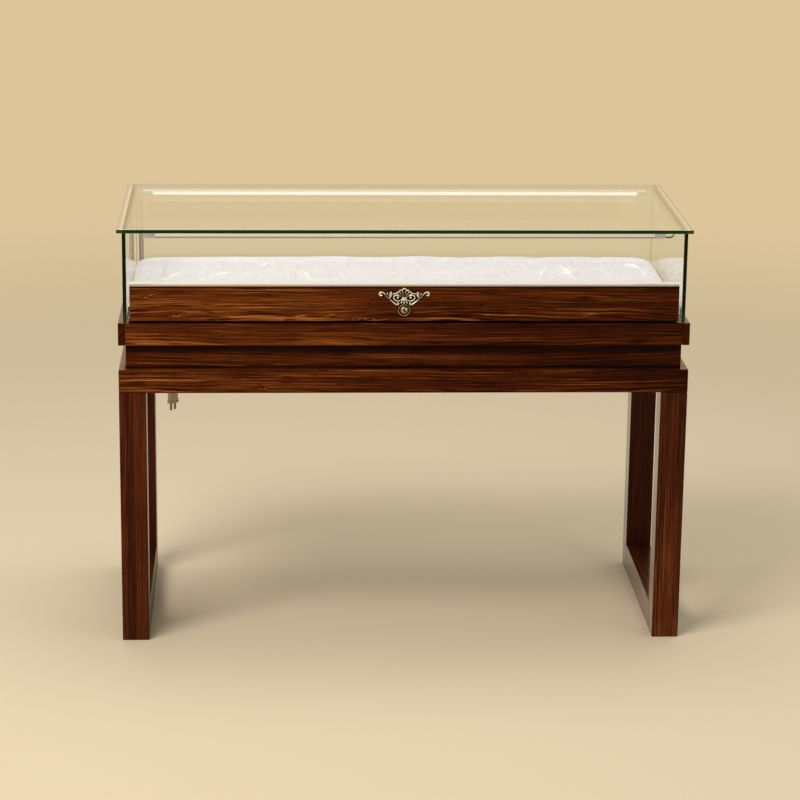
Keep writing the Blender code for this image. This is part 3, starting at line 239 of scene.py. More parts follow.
def stained_wood(
    name,
    grain,
    log_place,
    heart,
    knots,
    tone,
    figure,
    flakes=(),
    lean=0.0,
    shade_and_stain_bands=(),
    end_grain=0.14,
    wear_and_highlight=None,
    gloss=0.05,
    lacquer=1.0,
    painted_ledge_shade=0.0,
):
    """Softwood under a dark red-brown stain, its rings drawn about a log's heart.

    Grain is the board's long axis, and log_place is where along the log it was cut. Knots are (along, across, size,
    shade), and the rings bend round them. Tone makes the whole board lighter, and lean one end of it. Figure is how
    strongly the grain stands out. Flakes are light scratches, (along, across, length, thickness, tilt, shade). The
    dark
    bands are (start, stop, depth): across the upright faces the wood darkens by the depth from start to stop; on the
    necks this is painted shade under the cap and in the gap above the rail, on the drawer front a dark line below its
    top edge, and on a leg a darker band in the stain. End_grain is how much darker the sawn ends are. The arris
    highlight is (start, stop, share) of an arris painted pale as a highlight, which the lying face above it shows only
    at a flat angle, as a painted reflection. Gloss is the wood's own shine, and lacquer its coat's shine at a flat
    angle. The ledge shade is how much darker the lying faces are painted, as shade in the gap between the front cap
    and the drawer front above it.
    """
    finish = Finish(name)
    sockets = {"Vector": finish.place(), "Rotation": GRAIN_TURNS[grain], "Location": (log_place, 0.0, 0.0)}
    turned = finish.node("ShaderNodeMapping", {"vector_type": "POINT"}, sockets)
    along, aside, across = finish.parts(turned)

    def clouds(run, rise, detail):
        """A noise through the whole board, drawn out along the grain."""
        return finish.speckle(finish.joined(along * run, aside * rise, across * rise), 1.0, detail)

    def streaks(run, rise, detail, roughness=0.5, start=0.0):
        """A noise that follows the rings."""
        return finish.speckle(finish.joined(along * run, rings * rise + start), 1.0, detail, roughness, "2D")

    normal = finish.parts(finish.node("ShaderNodeTexCoord", out="Normal"))
    sawn = abs(normal["XYZ".index(grain)]) > 0.8
    lying = abs(normal[2]) > 0.8
    upright = 1 - lying
    from_heart = ((aside - heart[0]) ** 2.0 + (across - heart[1]) ** 2.0).root()
    rings = from_heart + clouds(1.0, 3.0, 1.0) * 0.016 + clouds(8.0, 25.0, 1.0) * 0.0016
    marks = 0.0
    for knot_along, knot_across, size, shade in knots:
        run = along - knot_along
        rise = across - knot_across
        rings = rings - rise * soft_oval(run, rise, size * 3.0, size) * 0.80
        marks = soft_oval(run, rise, size * 0.70, size * 0.40) * shade + marks
    for flake_along, flake_across, length, thickness, tilt, shade in flakes:
        run = along - flake_along
        rise = across - flake_across - run * tilt
        marks = soft_oval(run, rise, length, thickness) * shade + marks
    broad = streaks(0.9, 90.0, 2.0)
    lines = streaks(3.0, 1500.0, 4.0, 0.65)
    bright = lines.step(0.54, 0.66)
    dark = lines.step(0.44, 0.34)
    crisp = abs(streaks(1.2, 380.0, 1.0, start=9.0) - 0.5).step(0.060, 0.0)
    flecks = streaks(12.0, 1700.0, 2.0, start=40.0).step(0.55, 0.68)
    fibre = clouds(40.0, 2100.0, 1.0)
    blotch = clouds(5.0, 16.0, 2.0)
    streak = broad * 0.22 + lines * 0.36 + bright * 0.08 - dark * 0.10 + crisp * 0.10 - flecks * 0.18
    streak = streak + fibre * 0.22 + blotch * 0.16
    streak = (streak - 0.50) * figure + (along - log_place) * lean + marks - sawn * end_grain + (tone + 0.486)
    # Painted shade on the lying faces, as strong as the ledge shade.
    streak = streak - lying * painted_ledge_shade
    # Dark bands on the upright faces: painted shade on the necks, a dark line on the drawer, a darker stain on a leg.
    for start, stop, depth in shade_and_stain_bands:
        streak = streak - across.step(start, stop) * upright * depth
    colour = finish.ramp(streak, STAIN)
    grazing = finish.node("ShaderNodeLayerWeight", sockets={"Blend": 0.5}, out="Facing").step(0.35, 0.75)
    # A painted highlight on the arris, and on the lying face above it a painted reflection at a flat angle.
    if wear_and_highlight:
        start, stop, share = wear_and_highlight
        wear_and_highlight_share = across.step(start, stop) * (upright + lying * grazing) * share
        colour = finish.blended(wear_and_highlight_share, colour, ARRIS_HIGHLIGHT)
    shader = finish.principled(
        Base_Color=colour,
        Roughness=0.34 + lines * 0.14,
        Normal=finish.bump(lines * 0.6 + fibre * 0.4, 0.0005, 0.22),
        Specular_IOR_Level=gloss,
        Coat_Weight=grazing * lacquer,
        Coat_Roughness=0.10,
    )
    return finish.show(shader)


def raw_board(name):
    """Pale plywood with a fine grain along X."""
    finish = Finish(name)
    along, aside, across = finish.parts(finish.place())
    bands = finish.speckle(finish.joined(along * 3.0, aside * 60.0, across * 60.0), 1.0, 3.0)
    fibre = finish.speckle(finish.joined(along * 30.0, aside * 900.0, across * 900.0), 1.0, 1.0)
    colour = finish.ramp(bands * 0.7 + fibre * 0.3, ((0.3, (0.22, 0.12, 0.055)), (0.7, (0.40, 0.25, 0.13))))
    relief = finish.bump(fibre, 0.0004, 0.3)
    return finish.show(finish.principled(Base_Color=colour, Roughness=0.62, Normal=relief))


def clear_glass(name, axis, pane, seam, hidden, arris=0.0, ghost=0.0):
    """Float glass: clear through its broad faces and dark green on its bare edges.

    An edge seen through the glass shows as a faint olive line, as strong as hidden says, and a bonded edge as strong
    as seam. Arris is how strongly a painted highlight lies along the lying pane's front edge, or a standing pane's
    lower edge. Along the lying pane's ends a painted ghost of the bonded end panes, as refraction would shift them,
    shows as a dull band beside a painted bright line.
    """
    finish = Finish(name)
    lies = axis == "Z"
    low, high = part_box(pane)
    turn = "XYZ".index(axis)
    inner, outer = sorted((abs(low[turn]), abs(high[turn])))
    normal = finish.parts(finish.node("ShaderNodeTexCoord", out="Normal"))
    place = finish.parts(finish.place())
    inside = finish.node("ShaderNodeNewGeometry", out="Backfacing")
    broad = abs(normal[turn]) > 0.9
    bare = 1 - broad
    bonded = (abs(normal[2]) > 0.9) - (broad if lies else 0.0)
    fade = abs(place[turn]).step(inner, outer)
    behind = inside * (1 - hidden)
    # A painted highlight along the front edge of a lying pane and the lower edge of a standing one.
    if lies:
        painted_arris_glint = place[1].step(low.y + 0.0060, low.y + 0.0015) * broad * arris
    else:
        painted_arris_glint = place[2].step(low.z + 0.0050, low.z + 0.0020) * broad * arris
    reach = abs(place[0])
    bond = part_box("glass_right")[1].x
    # A painted ghost of the end pane as a dull band, and a painted glint beside it.
    band = reach.step(bond - 0.0150, bond - 0.0010) * reach.step(bond + 0.0004, bond - 0.0004) * broad * ghost
    glint = reach.step(bond, bond + 0.0010) * reach.step(bond + 0.0035, bond + 0.0025) * broad * ghost
    edges = bare * (bonded * fade * seam + (1 - bonded) * (1 - behind))
    seen = edges + painted_arris_glint + band + glint
    index = 1.5
    shine = finish.node("ShaderNodeFresnel", sockets={"IOR": index - inside * (index - 1 / index)})
    through = finish.node("ShaderNodeBsdfTransparent", sockets={"Color": (0.985, 0.991, 0.98, 1.0)})
    mirror = finish.node("ShaderNodeBsdfGlossy", sockets={"Color": (1.0, 1.0, 1.0, 1.0), "Roughness": 0.01})
    clear = finish.node("ShaderNodeMixShader", sockets={0: shine, 1: through, 2: mirror})
    grind = finish.speckle(finish.place(), 400.0, 2.0)
    if lies:
        deep = finish.blended(grind, (0.0015, 0.020, 0.002), (0.004, 0.042, 0.006))
        green = finish.blended(reach.step(bond - 0.005, bond + 0.001), deep, (0.050, 0.036, 0.006))
        gleam = (0.88, 0.78, 0.66)
    else:
        deep = finish.blended(grind, (0.001, 0.003, 0.0008), (0.003, 0.009, 0.002))
        foot = place[2].step(0.735, 0.705)
        green = finish.blended(foot, deep, (0.010, 0.040, 0.012))
        gleam = (0.97, 0.96, 0.93)
    olive = finish.blended((inside + bonded) > 0.5, green, (0.15, 0.12, 0.045))
    dull = finish.blended(band > 0.001, olive, (0.20, 0.16, 0.075))
    colour = finish.blended((painted_arris_glint + glint) > 0.001, dull, gleam)
    relief = finish.bump(grind, 0.0002, 0.2)
    edge = finish.principled(Base_Color=colour, Roughness=0.25, Normal=relief, Specular_IOR_Level=0.08)
    return finish.show(finish.node("ShaderNodeMixShader", sockets={0: seen, 1: clear, 2: edge}))


def moulded(name, colour, roughness, grain=900.0, lines=()):
    """A moulded or extruded plastic with a fine grain and faint cloudiness.

    Lines are (axis, start, stop, colour): past the stop on that axis the plastic has the line's colour.
    """
    finish = Finish(name)
    cloudiness = 0.06
    place = finish.place()
    fine = finish.speckle(place, grain, 1.0)
    cloud = finish.speckle(place, 25.0, 3.0)
    pale = tuple(min(1.0, part * (1 + cloudiness)) for part in colour)
    deep = tuple(part * (1 - cloudiness) for part in colour)
    tint = finish.blended(cloud, deep, pale)
    for axis, start, stop, line_colour in lines:
        share = finish.parts(place)["XYZ".index(axis)].step(start, stop)
        tint = finish.blended(share, tint, line_colour)
    relief = finish.bump(fine, 0.0002, 0.12)
    rough = roughness - 0.05 + cloud * 0.10
    shader = finish.principled(Base_Color=tint, Roughness=rough, Normal=relief)
    return finish.show(shader)


def drawn_metal(name, colour, roughness, axis):
    """Rolled or extruded metal with fine lines along one axis."""
    finish = Finish(name)
    spans = [900.0, 900.0, 900.0]
    spans["XYZ".index(axis)] = 6.0
    scaled = finish.node("ShaderNodeMapping", sockets={"Vector": finish.place(), "Scale": spans})
    lines = finish.speckle(scaled, 1.0, 2.0)
    stain = finish.speckle(finish.place(), 18.0, 3.0)
    pale = tuple(min(1.0, part * 1.08) for part in colour)
    deep = tuple(part * 0.82 for part in colour)
    rough = roughness - 0.08 + lines * 0.12 + stain * 0.06
    shader = finish.principled(
        Base_Color=finish.blended(stain, deep, pale),
        Roughness=rough,
        Metallic=1.0,
        Normal=finish.bump(lines, 0.0001, 0.25),
    )
    return finish.show(shader)


def glowing_lens(name):
    """Milky diffuser with a faint even glow."""
    finish = Finish(name)
    cloud = finish.speckle(finish.place(), 60.0, 2.0)
    colour = finish.blended(cloud, (0.86, 0.86, 0.85), (0.93, 0.93, 0.92))
    shader = finish.principled(
        Base_Color=colour, Roughness=0.35, Emission_Color=(1.0, 0.97, 0.93, 1.0), Emission_Strength=0.9
    )
    return finish.show(shader)


def old_bronze(name, plate, crest):
    """Cast bronze, patina at the plate, worn bright at the crests; painted light on top faces, painted shade below."""
    finish = Finish(name)
    place = finish.place()
    depth = finish.parts(place)[1]
    cloud = finish.speckle(place, 260.0, 3.0)
    pits = finish.speckle(place, 1500.0, 2.0)
    rise = (plate - depth) * (1 / (plate - crest))
    normal = finish.parts(finish.node("ShaderNodeTexCoord", out="Normal"))
    # Painted light from above: upper faces lighter, undersides darker as painted shade.
    lit_from_above = (normal[2] * 0.9 - normal[0] * 0.3).step(-0.60, 0.45)
    # Bright towards the crest, partly wear and partly painted highlight; dark patina down at the plate.
    wear_and_highlight_share = (rise + cloud * 0.36 - 0.18).step(0.23, 0.90) * (0.36 + lit_from_above * 0.74)
    stops = (
        (0.0, (0.008, 0.005, 0.002)),
        (0.35, (0.070, 0.044, 0.017)),
        (0.68, (0.40, 0.30, 0.15)),
        (0.98, (1.0, 0.97, 0.86)),
    )
    colour = finish.ramp(wear_and_highlight_share, stops)
    shader = finish.principled(
        Base_Color=colour,
        Metallic=0.90 - wear_and_highlight_share * 0.45,
        Roughness=0.50 - wear_and_highlight_share * 0.28,
        Normal=finish.bump(pits, 0.0002, 0.2),
    )
    return finish.show(shader)


def lock_face(name, centre):
    """Worn brass of a lock, domed a little, with painted shade in its key slot and in a ring round its face."""
    finish = Finish(name)
    slot_turn = 0.3
    dome_radius = 0.012
    place = finish.place()
    spots = finish.parts(place)
    aside = spots[0] - centre.x
    up = spots[2] - centre.z
    radius = (aside * aside + up * up).root()
    thickness = abs(aside * cos(slot_turn) + up * sin(slot_turn))
    length = abs(up * cos(slot_turn) - aside * sin(slot_turn))
    # Painted shade in the key slot and in the recess round the lock's face.
    slot = (1 - thickness.step(0.0018, 0.0025)) * (1 - length.step(0.0042, 0.0049))
    dark = slot.math("MAXIMUM", slot, radius.step(0.0072, 0.0075))
    cloud = finish.speckle(place, 420.0, 3.0)
    wear_and_highlight = finish.blended(cloud.step(0.3, 0.7), (0.17, 0.105, 0.035), (0.98, 0.82, 0.50))
    shader = finish.principled(
        Base_Color=finish.blended(dark, wear_and_highlight, (0.010, 0.006, 0.003)),
        Metallic=0.85 - dark * 0.6,
        Roughness=0.34 + dark * 0.3,
        Normal=finish.bump(radius * radius * (-0.5 / dome_radius), 1.0),
    )
    return finish.show(shader)


def white_satin(name):
    """White satin: fine twill and soft shine, painted highlights on crests and painted shade in hollows."""
    finish = Finish(name)
    place = finish.place()
    along, aside = finish.parts(place)[:2]
    slant = (along + aside * 0.6) * 5200.0
    twill = slant.math("SINE", slant)
    cloud = finish.speckle(place, 14.0, 3.0)
    slub = finish.speckle(finish.joined(along * 60.0, aside * 900.0), 1.0, 1.0)
    crest = finish.node("ShaderNodeAttribute", {"attribute_name": "crest"}, out="Fac")
    plain = finish.blended(cloud, (0.685, 0.675, 0.715), (0.76, 0.755, 0.805))
    # Painted shade in the fold hollows, where the crest attribute is below nought.
    painted_hollow_shade = finish.blended(crest.step(-0.05, -0.6), plain, (0.60, 0.575, 0.56))
    # Painted highlights on the crease crests and hanging ends, where the crest attribute is above nought.
    colour = finish.blended(crest.step(0.15, 0.75), painted_hollow_shade, (0.95, 0.94, 0.93))
    relief = finish.bump(twill * 0.5 + slub * 0.5, 0.0001, 0.18)
    shader = finish.principled(
        Base_Color=colour, Roughness=0.28 + slub * 0.10, Normal=relief, Sheen_Weight=0.25, Sheen_Roughness=0.4
    )
    return finish.show(shader)


def dress(material, *names):
    """Gives CAD nodes their finish."""
    for name in names:
        slots = nodes[name].data.materials
        slots.clear()
        slots.append(material)


DRAWER_KNOTS = (
    (-0.537, 0.7580, 0.0055, -0.16),
    (-0.478, 0.7195, 0.0050, -0.30),
    (-0.152, 0.7165, 0.0038, -0.14),
    (-0.077, 0.7440, 0.0040, -0.20),
    (-0.092, 0.7060, 0.0060, -0.34),
    (0.158, 0.7390, 0.0040, -0.25),
    (0.377, 0.7530, 0.0045, -0.25),
)
DRAWER_FLAKES = (
    (-0.531, 0.7605, 0.0050, 0.0011, 0.30, 0.30),
    (-0.541, 0.7560, 0.0050, 0.0010, -0.30, 0.20),
    (-0.216, 0.7168, 0.0100, 0.0013, 0.16, 0.36),
    (-0.224, 0.7150, 0.0070, 0.0011, 0.06, 0.24),
    (-0.158, 0.7175, 0.0060, 0.0010, 0.20, 0.22),
    (-0.092, 0.7100, 0.0120, 0.0009, 0.02, 0.24),
    (0.170, 0.7175, 0.0080, 0.0011, 0.03, 0.26),
    (0.222, 0.7180, 0.0130, 0.0010, 0.10, 0.28),
    (0.383, 0.7222, 0.0110, 0.0010, -0.04, 0.28),
    (0.392, 0.7192, 0.0130, 0.0010, 0.06, 0.30),
    (0.378, 0.7162, 0.0090, 0.0009, 0.02, 0.24),
)
CAP_KNOTS = ((-0.382, 0.6745, 0.0040, -0.25), (0.060, 0.6900, 0.0040, -0.20))
NECK_KNOTS = ((0.025, 0.6070, 0.0040, -0.20), (0.340, 0.6400, 0.0045, -0.20))
RAIL_KNOTS = ((0.120, 0.5880, 0.0035, -0.20), (-0.300, 0.5620, 0.0040, -0.20))


BOARDS = (
    # name, place along the log, heart of the log, tone, lean, figure, knots
    # Lean darkens each board towards +X as a painted falloff of the light from the left.
    # The front neck's lower tone is partly its wood and partly painted shade under the cap.
    ("drawer_front", 0.1, (-0.14, 0.70), 0.040, -0.16, 1.35, DRAWER_KNOTS),
    ("cap_front", 3.3, (-0.12, 0.64), -0.006, -0.16, 0.95, CAP_KNOTS),
    ("neck_front", 6.1, (-0.10, 0.58), -0.035, -0.11, 1.05, NECK_KNOTS),
    ("lower_rail_front", 9.7, (-0.11, 0.53), -0.006, -0.14, 1.35, RAIL_KNOTS),
    ("neck_rear", 12.4, (0.60, 0.68), -0.04, -0.06, 1.0, ((0.2, 0.66, 0.006, -0.2),)),
    ("cap_rear", 15.2, (0.65, 0.60), -0.02, -0.06, 1.0, ()),
    ("lower_rail_rear", 18.9, (0.75, 0.62), -0.02, -0.06, 1.2, ((-0.3, 0.57, 0.005, -0.2),)),
)
SIDES = (
    "lower_rail_left",
    "lower_rail_right",
    "neck_left",
    "neck_right",
    "cap_left",
    "cap_right",
    "runner_left",
    "runner_right",
)
LEGS = (
    # name, place along the log, tone, lean, figure, darker bands in the stain
    ("leg_front_left", 51.0, 0.014, 0.0, 0.70, ((0.567, 0.573, 0.10), (0.583, 0.589, -0.09))),
    ("leg_front_right", 72.3, 0.076, -0.32, 0.95, ()),
    ("leg_rear_left", 57.2, -0.03, 0.0, 0.70, ()),
    ("leg_rear_right", 60.3, -0.06, 0.0, 0.70, ()),
)
DULL_LACQUER = 0.45


def dress_boards():
    """Long boards with their marks, painted shade under the cap and in gaps, and a painted highlight on the drawer."""
    for name, run, heart, tone, lean, figure, knots in BOARDS:
        low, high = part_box(name)
        flakes = ()
        shade_and_stain_bands = ()
        wear_and_highlight = None
        painted_ledge_shade = 0.0
        if name == "drawer_front":
            flakes = [(along + run, *mark) for along, *mark in DRAWER_FLAKES]
            # The drawer front: a dark line below its top edge, and the edge above painted pale as a highlight.
            shade_and_stain_bands = ((high.z - 0.0074, high.z - 0.0058, 0.30), (high.z - 0.0046, high.z - 0.0032, -0.30))
            wear_and_highlight = (high.z - 0.0036, high.z - 0.0004, 0.70)
        elif name == "cap_front":
            # Painted shade on the front cap's lying faces, for the dark gap under the drawer front.
            painted_ledge_shade = 0.30
        elif name.startswith("neck"):
            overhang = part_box("cap_front")[0].z
            # Painted shade on the necks under the cap's overhang and in the gap above the rail.
            shade_and_stain_bands = ((overhang - 0.0300, overhang - 0.0060, 0.20), (low.z + 0.0070, low.z + 0.0020, 0.24))
        wood = stained_wood(
            name + "_wood",
            "X",
            run,
            heart,
            knots=[(along + run, *mark) for along, *mark in knots],
            flakes=flakes,
            tone=tone,
            lean=lean,
            shade_and_stain_bands=shade_and_stain_bands,
            figure=figure,
            wear_and_highlight=wear_and_highlight,
            painted_ledge_shade=painted_ledge_shade,
        )
        dress(wood, name)


def dress_sides():
    """The short boards at both ends and the floor runners."""
    for index, name in enumerate(SIDES):
        low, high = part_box(name)
        middle = (low + high) / 2
        outer = 1 if middle.x > 0 else -1
        run = 31.0 + 2.7 * index
        wood = stained_wood(
            name + "_wood",
            "Y",
            run,
            (-middle.x + outer * 0.05, middle.z - 0.05),
            knots=[(run - 0.12 + 0.03 * index, middle.z + 0.01, 0.005, -0.2)],
            tone=-0.09 if name.startswith("runner") else 0.0,
            figure=0.8,
            end_grain=0.09 if name.startswith("cap") else 0.14,
            lacquer=DULL_LACQUER if name == "runner_left" else 1.0,
        )
        dress(wood, name)


def dress_legs():
    """The legs, with their grain upright."""
    for name, run, tone, lean, figure, shade_and_stain_bands in LEGS:
        low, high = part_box(name)
        middle = (low + high) / 2
        wood = stained_wood(
            name + "_wood",
            "Z",
            run,
            (middle.y + 0.05, -middle.x + 0.035),
            knots=[(run + 0.30, -middle.x - 0.008, 0.004, -0.2)],
            tone=tone,
            lean=lean,
            shade_and_stain_bands=shade_and_stain_bands,
            figure=figure,
            gloss=0.10,
            lacquer=DULL_LACQUER if name.endswith("left") else 1.0,
        )
        dress(wood, name)


def dress_glass():
    """The five panes."""
    dress(clear_glass("glass_lying", "Z", "glass_top", seam=0.0, hidden=0.22, arris=0.35, ghost=0.32), "glass_top")
    dress(clear_glass("glass_end", "X", "glass_right", seam=0.75, hidden=0.05), "glass_left", "glass_right")
    dress(clear_glass("glass_rear", "Y", "glass_back", seam=0.15, hidden=0.05), "glass_back")
    dress(clear_glass("glass_fore", "Y", "glass_front", seam=0.15, hidden=0.05, arris=0.7), "glass_front")


def dress_lights():
    """The light bars, their duct and their driver."""
    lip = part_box("led_channel_front")[0].z + 0.0038
    lip_line = ("Z", lip, lip - 0.0008, (0.36, 0.31, 0.30))
    dress(moulded("channel_paint", (0.92, 0.85, 0.80), 0.35, lines=[lip_line]), "led_channel_front")
    dress(moulded("white_channel_paint", (0.86, 0.84, 0.83), 0.35), "led_channel_back")
    dress(glowing_lens("lens"), "led_lens_front", "led_lens_back")
    dress(moulded("grey_end_cap", (0.44, 0.46, 0.51), 0.42), "led_end_front_left", "led_end_front_right")
    dress(moulded("white_end_cap", (0.90, 0.89, 0.86), 0.42), "led_end_back_left", "led_end_back_right")
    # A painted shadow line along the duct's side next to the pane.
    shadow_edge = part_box("wire_duct")[0].x + 0.0026
    painted_shadow_line = ("X", shadow_edge, shadow_edge - 0.0008, (0.06, 0.028, 0.018))
    # Upwards the duct fades to the backdrop's colour as painted glare of the top glass.
    painted_glare_top = ("Z", 0.785, 0.815, (0.72, 0.61, 0.42))
    # Its mauve-grey stands for a pale duct in painted shade.
    dress(moulded("duct_plastic", (0.36, 0.28, 0.26), 0.40, lines=[painted_shadow_line, painted_glare_top]), "wire_duct")
    dress(moulded("driver_plastic", (0.75, 0.75, 0.72), 0.45), "led_driver")


def dress_hardware():
    """The drawer's bare boards, its slides and its lock, and the plug."""
    dress(raw_board("raw_board"), "base_board", "drawer_deck", "drawer_side_left", "drawer_side_right", "drawer_back")
    slides = [f"slide_{part}_{side}" for part in ("fixed", "middle", "drawer") for side in ("left", "right")]
    dress(drawn_metal("slide_zinc", (0.55, 0.56, 0.58), 0.36, "Y"), *slides, "lock_strike", "lock_cam")
    lock_low, lock_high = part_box("lock_housing")
    dress(lock_face("lock_brass", (lock_low + lock_high) / 2), "lock_housing", "lock_plug")
    dress(moulded("plug_plastic", (0.47, 0.40, 0.33), 0.45), "plug_body", "cord_gland")
    dress(moulded("tie_plastic", (0.03, 0.03, 0.03), 0.45), "cord_tie")
    dress(drawn_metal("pin_brass", (0.24, 0.175, 0.085), 0.38, "Z"), "plug_pin_left", "plug_pin_right")


def smooth_route(route, step):
    """Points about a step apart on a smooth curve through the route's own points."""
    ends = [2 * route[0] - route[1]] + list(route) + [2 * route[-1] - route[-2]]
    points = [route[0].copy()]
    for before, start, stop, after in zip(ends, ends[1:], ends[2:], ends[3:]):
        length = (stop - start).length
        leave = (stop - before) * (length / (length + (start - before).length))
        arrive = (after - start) * (length / (length + (after - stop).length))
        count = max(1, round(length / step))
        for index in range(1, count + 1):
            part = index / count
            rest = 1 - part
            bend = leave * part * rest**2 - arrive * part**2 * rest
            points.append(start + (stop - start) * (part**2 * (1 + 2 * rest)) + bend)
    return points


def path_length(points):
    """How long a line through the points is."""
    return sum((after - before).length for before, after in zip(points, points[1:]))


def tube(name, points, diameter, material, resolution=4):
    """A round cord with closed ends along the points."""
    curve = bpy.data.curves.new(name, "CURVE")
    curve.dimensions = "3D"
    curve.bevel_depth = diameter / 2
    curve.bevel_resolution = resolution
    curve.use_fill_caps = True
    spline = curve.splines.new("POLY")
    spline.points.add(len(points) - 1)
    for knot, point in zip(spline.points, points):
        knot.co = (*point, 1.0)
    curve.materials.append(material)
    made = bpy.data.objects.new(name, curve)
    bpy.context.scene.collection.objects.link(made)
    return made


def make_mains_cord():
    """The mains cord from the driver's gland through its tied coil to the hanging plug, in one length."""
    diameter = 0.005
    pitch = 0.0055
    loops = 7
    loop_points = 40
    hang_points = 12
    outer = 0.03925
    lead_route = (
        # how far forward of the gland and how far below it
        (0.0000, 0.0000),
        (0.0100, 0.0001),
        (0.0200, 0.0010),
        (0.0300, 0.0034),
        (0.0400, 0.0080),
        (0.0490, 0.0150),
        (0.0560, 0.0240),
        (0.0605, 0.0330),
        (0.0628, 0.0415),
        (0.0633, 0.0464),
    )
    gland_low, gland_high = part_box("cord_gland")
    plug_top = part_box("plug_body")[1].z
    tip = Vector(((gland_low.x + gland_high.x) / 2, gland_low.y, (gland_low.z + gland_high.z) / 2))
    route = [tip + Vector((0.0, -forward, -down)) for forward, down in lead_route]
    coil_y = route[-1].y - pitch / 2
    coil_low, coil_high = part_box("cord_coil")
    coil_z = (coil_low.z + coil_high.z) / 2
    route[-1].z = coil_z + diameter
    points = smooth_route(route, step=0.004)
    for index in range(loops * loop_points + 1):
        turns = index / loop_points
        radius = outer - pitch * (loops / 2 - abs(turns - loops / 2))
        climb = min(1.0, max(0.0, 2 * (turns - loops / 2) + 0.5))
        angle = pi + 2 * pi * turns
        across = tip.x + outer + radius * cos(angle)
        points.append(Vector((across, coil_y + pitch * (0.5 - climb), coil_z + radius * sin(angle))))
    hang = coil_z - diameter - plug_top
    for index in range(hang_points + 1):
        drop = diameter + hang * index / hang_points
        points.append(Vector((tip.x, coil_y - pitch / 2, coil_z - drop)))
    jacket = moulded("cord_jacket", (0.40, 0.38, 0.34), 0.5, grain=700.0)
    cord = tube("mains_cord", points, diameter, jacket)
    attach(cord, "root")
    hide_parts("cord_lead", "cord_coil", "cord_tail")
    path_length(points)


def make_link_wires():
    """A thin red and a thin black wire from the front light bar to the rear one."""
    front_low, front_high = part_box("led_end_front_right")
    back_low, back_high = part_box("led_end_back_right")
    front = Vector((front_high.x, (front_low.y + front_high.y) / 2, (front_low.z + front_high.z) / 2))
    back = Vector((back_high.x, (back_low.y + back_high.y) / 2, (back_low.z + back_high.z) / 2))
    diameter = 0.0018
    glass_gap = 0.0003
    under_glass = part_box("glass_top")[0].z - diameter - glass_gap
    outer = front.x + 0.0200
    inner = front.x + 0.0050
    along = back.x + 0.0060
    low = front.z - 0.0034
    route = (
        (front.x, front.y, low),
        (front.x + 0.0050, front.y, low - 0.0016),
        (front.x + 0.0115, front.y + 0.0010, low - 0.0016),
        (outer - 0.0022, front.y + 0.0040, low + 0.0008),
        (outer, front.y + 0.0110, low + 0.0045),
        (outer - 0.0042, front.y + 0.0220, under_glass - 0.0005),
        (inner + 0.0010, front.y + 0.0420, under_glass),
        (inner + 0.0012, front.y + 0.0700, under_glass),
        (along, back.y - 0.0400, under_glass),
        (along, back.y - 0.0200, under_glass - 0.0012),
        (along - 0.0004, back.y - 0.0080, back.z + 0.0010),
        (along - 0.0024, back.y - 0.0022, back.z + 0.0002),
        (back.x, back.y, back.z),
    )
    middle = smooth_route([Vector(point) for point in route], step=0.003)
    past_loop = front.y + 0.009
    sleeve = ("Y", past_loop, past_loop + 0.002, (0.66, 0.60, 0.48))
    wires = (
        ("link_wire_red", (0.014, 0.001, 0.001), 0.5),
        ("link_wire_black", (0.002, 0.002, 0.002), -0.5),
    )
    for name, colour, lift in wires:
        points = [point + Vector((0.0, 0.0, lift * diameter)) for point in middle]
        jacket = moulded(name + "_jacket", colour, 0.4, lines=[sleeve])
        wire = tube(name, points, diameter, jacket, resolution=3)
        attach(wire, "root")
        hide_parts("led_link_wire")
        path_length(points)


def mesh_object(bm, name, material):
    """An object at the origin from a bmesh, which is freed."""
    data = bpy.data.meshes.new(name)
    bm.to_mesh(data)
    bm.free()
    data.materials.append(material)
    made = bpy.data.objects.new(name, data)
    bpy.context.scene.collection.objects.link(made)
    return made


def settle(cloth, floor_height, frames):
    """Lets the cloth buckle on the deck under its own weight, with a little more length than the deck has."""
    bm = bmesh.new()
    bmesh.ops.create_grid(bm, x_segments=1, y_segments=1, size=1.0)
    bmesh.ops.translate(bm, vec=(0.0, 0.0, floor_height), verts=bm.verts)
    table = mesh_object(bm, "settling_table", cloth.data.materials[0])
    table.modifiers.new("table", "COLLISION")
    table.collision.thickness_outer = 0.0006
    weave = cloth.modifiers.new("weave", "CLOTH")
    weave.settings.quality = 8
    weave.settings.mass = 0.12
    weave.settings.tension_stiffness = 20
    weave.settings.compression_stiffness = 20
    weave.settings.shear_stiffness = 8
    weave.settings.bending_stiffness = 2.0
    weave.settings.air_damping = 3.0
    weave.settings.shrink_min = -0.02
    weave.settings.vertex_group_mass = "held"
    weave.collision_settings.distance_min = 0.0008
    weave.point_cache.frame_start = 1
    weave.point_cache.frame_end = frames
    scene = bpy.context.scene
    for number in range(1, frames + 1):
        scene.frame_set(number)
    shown = cloth.evaluated_get(bpy.context.evaluated_depsgraph_get())
    settled = [vert.co.copy() for vert in shown.data.vertices]
    cloth.modifiers.clear()
    for vert, place in zip(cloth.data.vertices, settled):
        vert.co = place
    bpy.data.objects.remove(table, do_unlink=True)
    scene.frame_set(1)


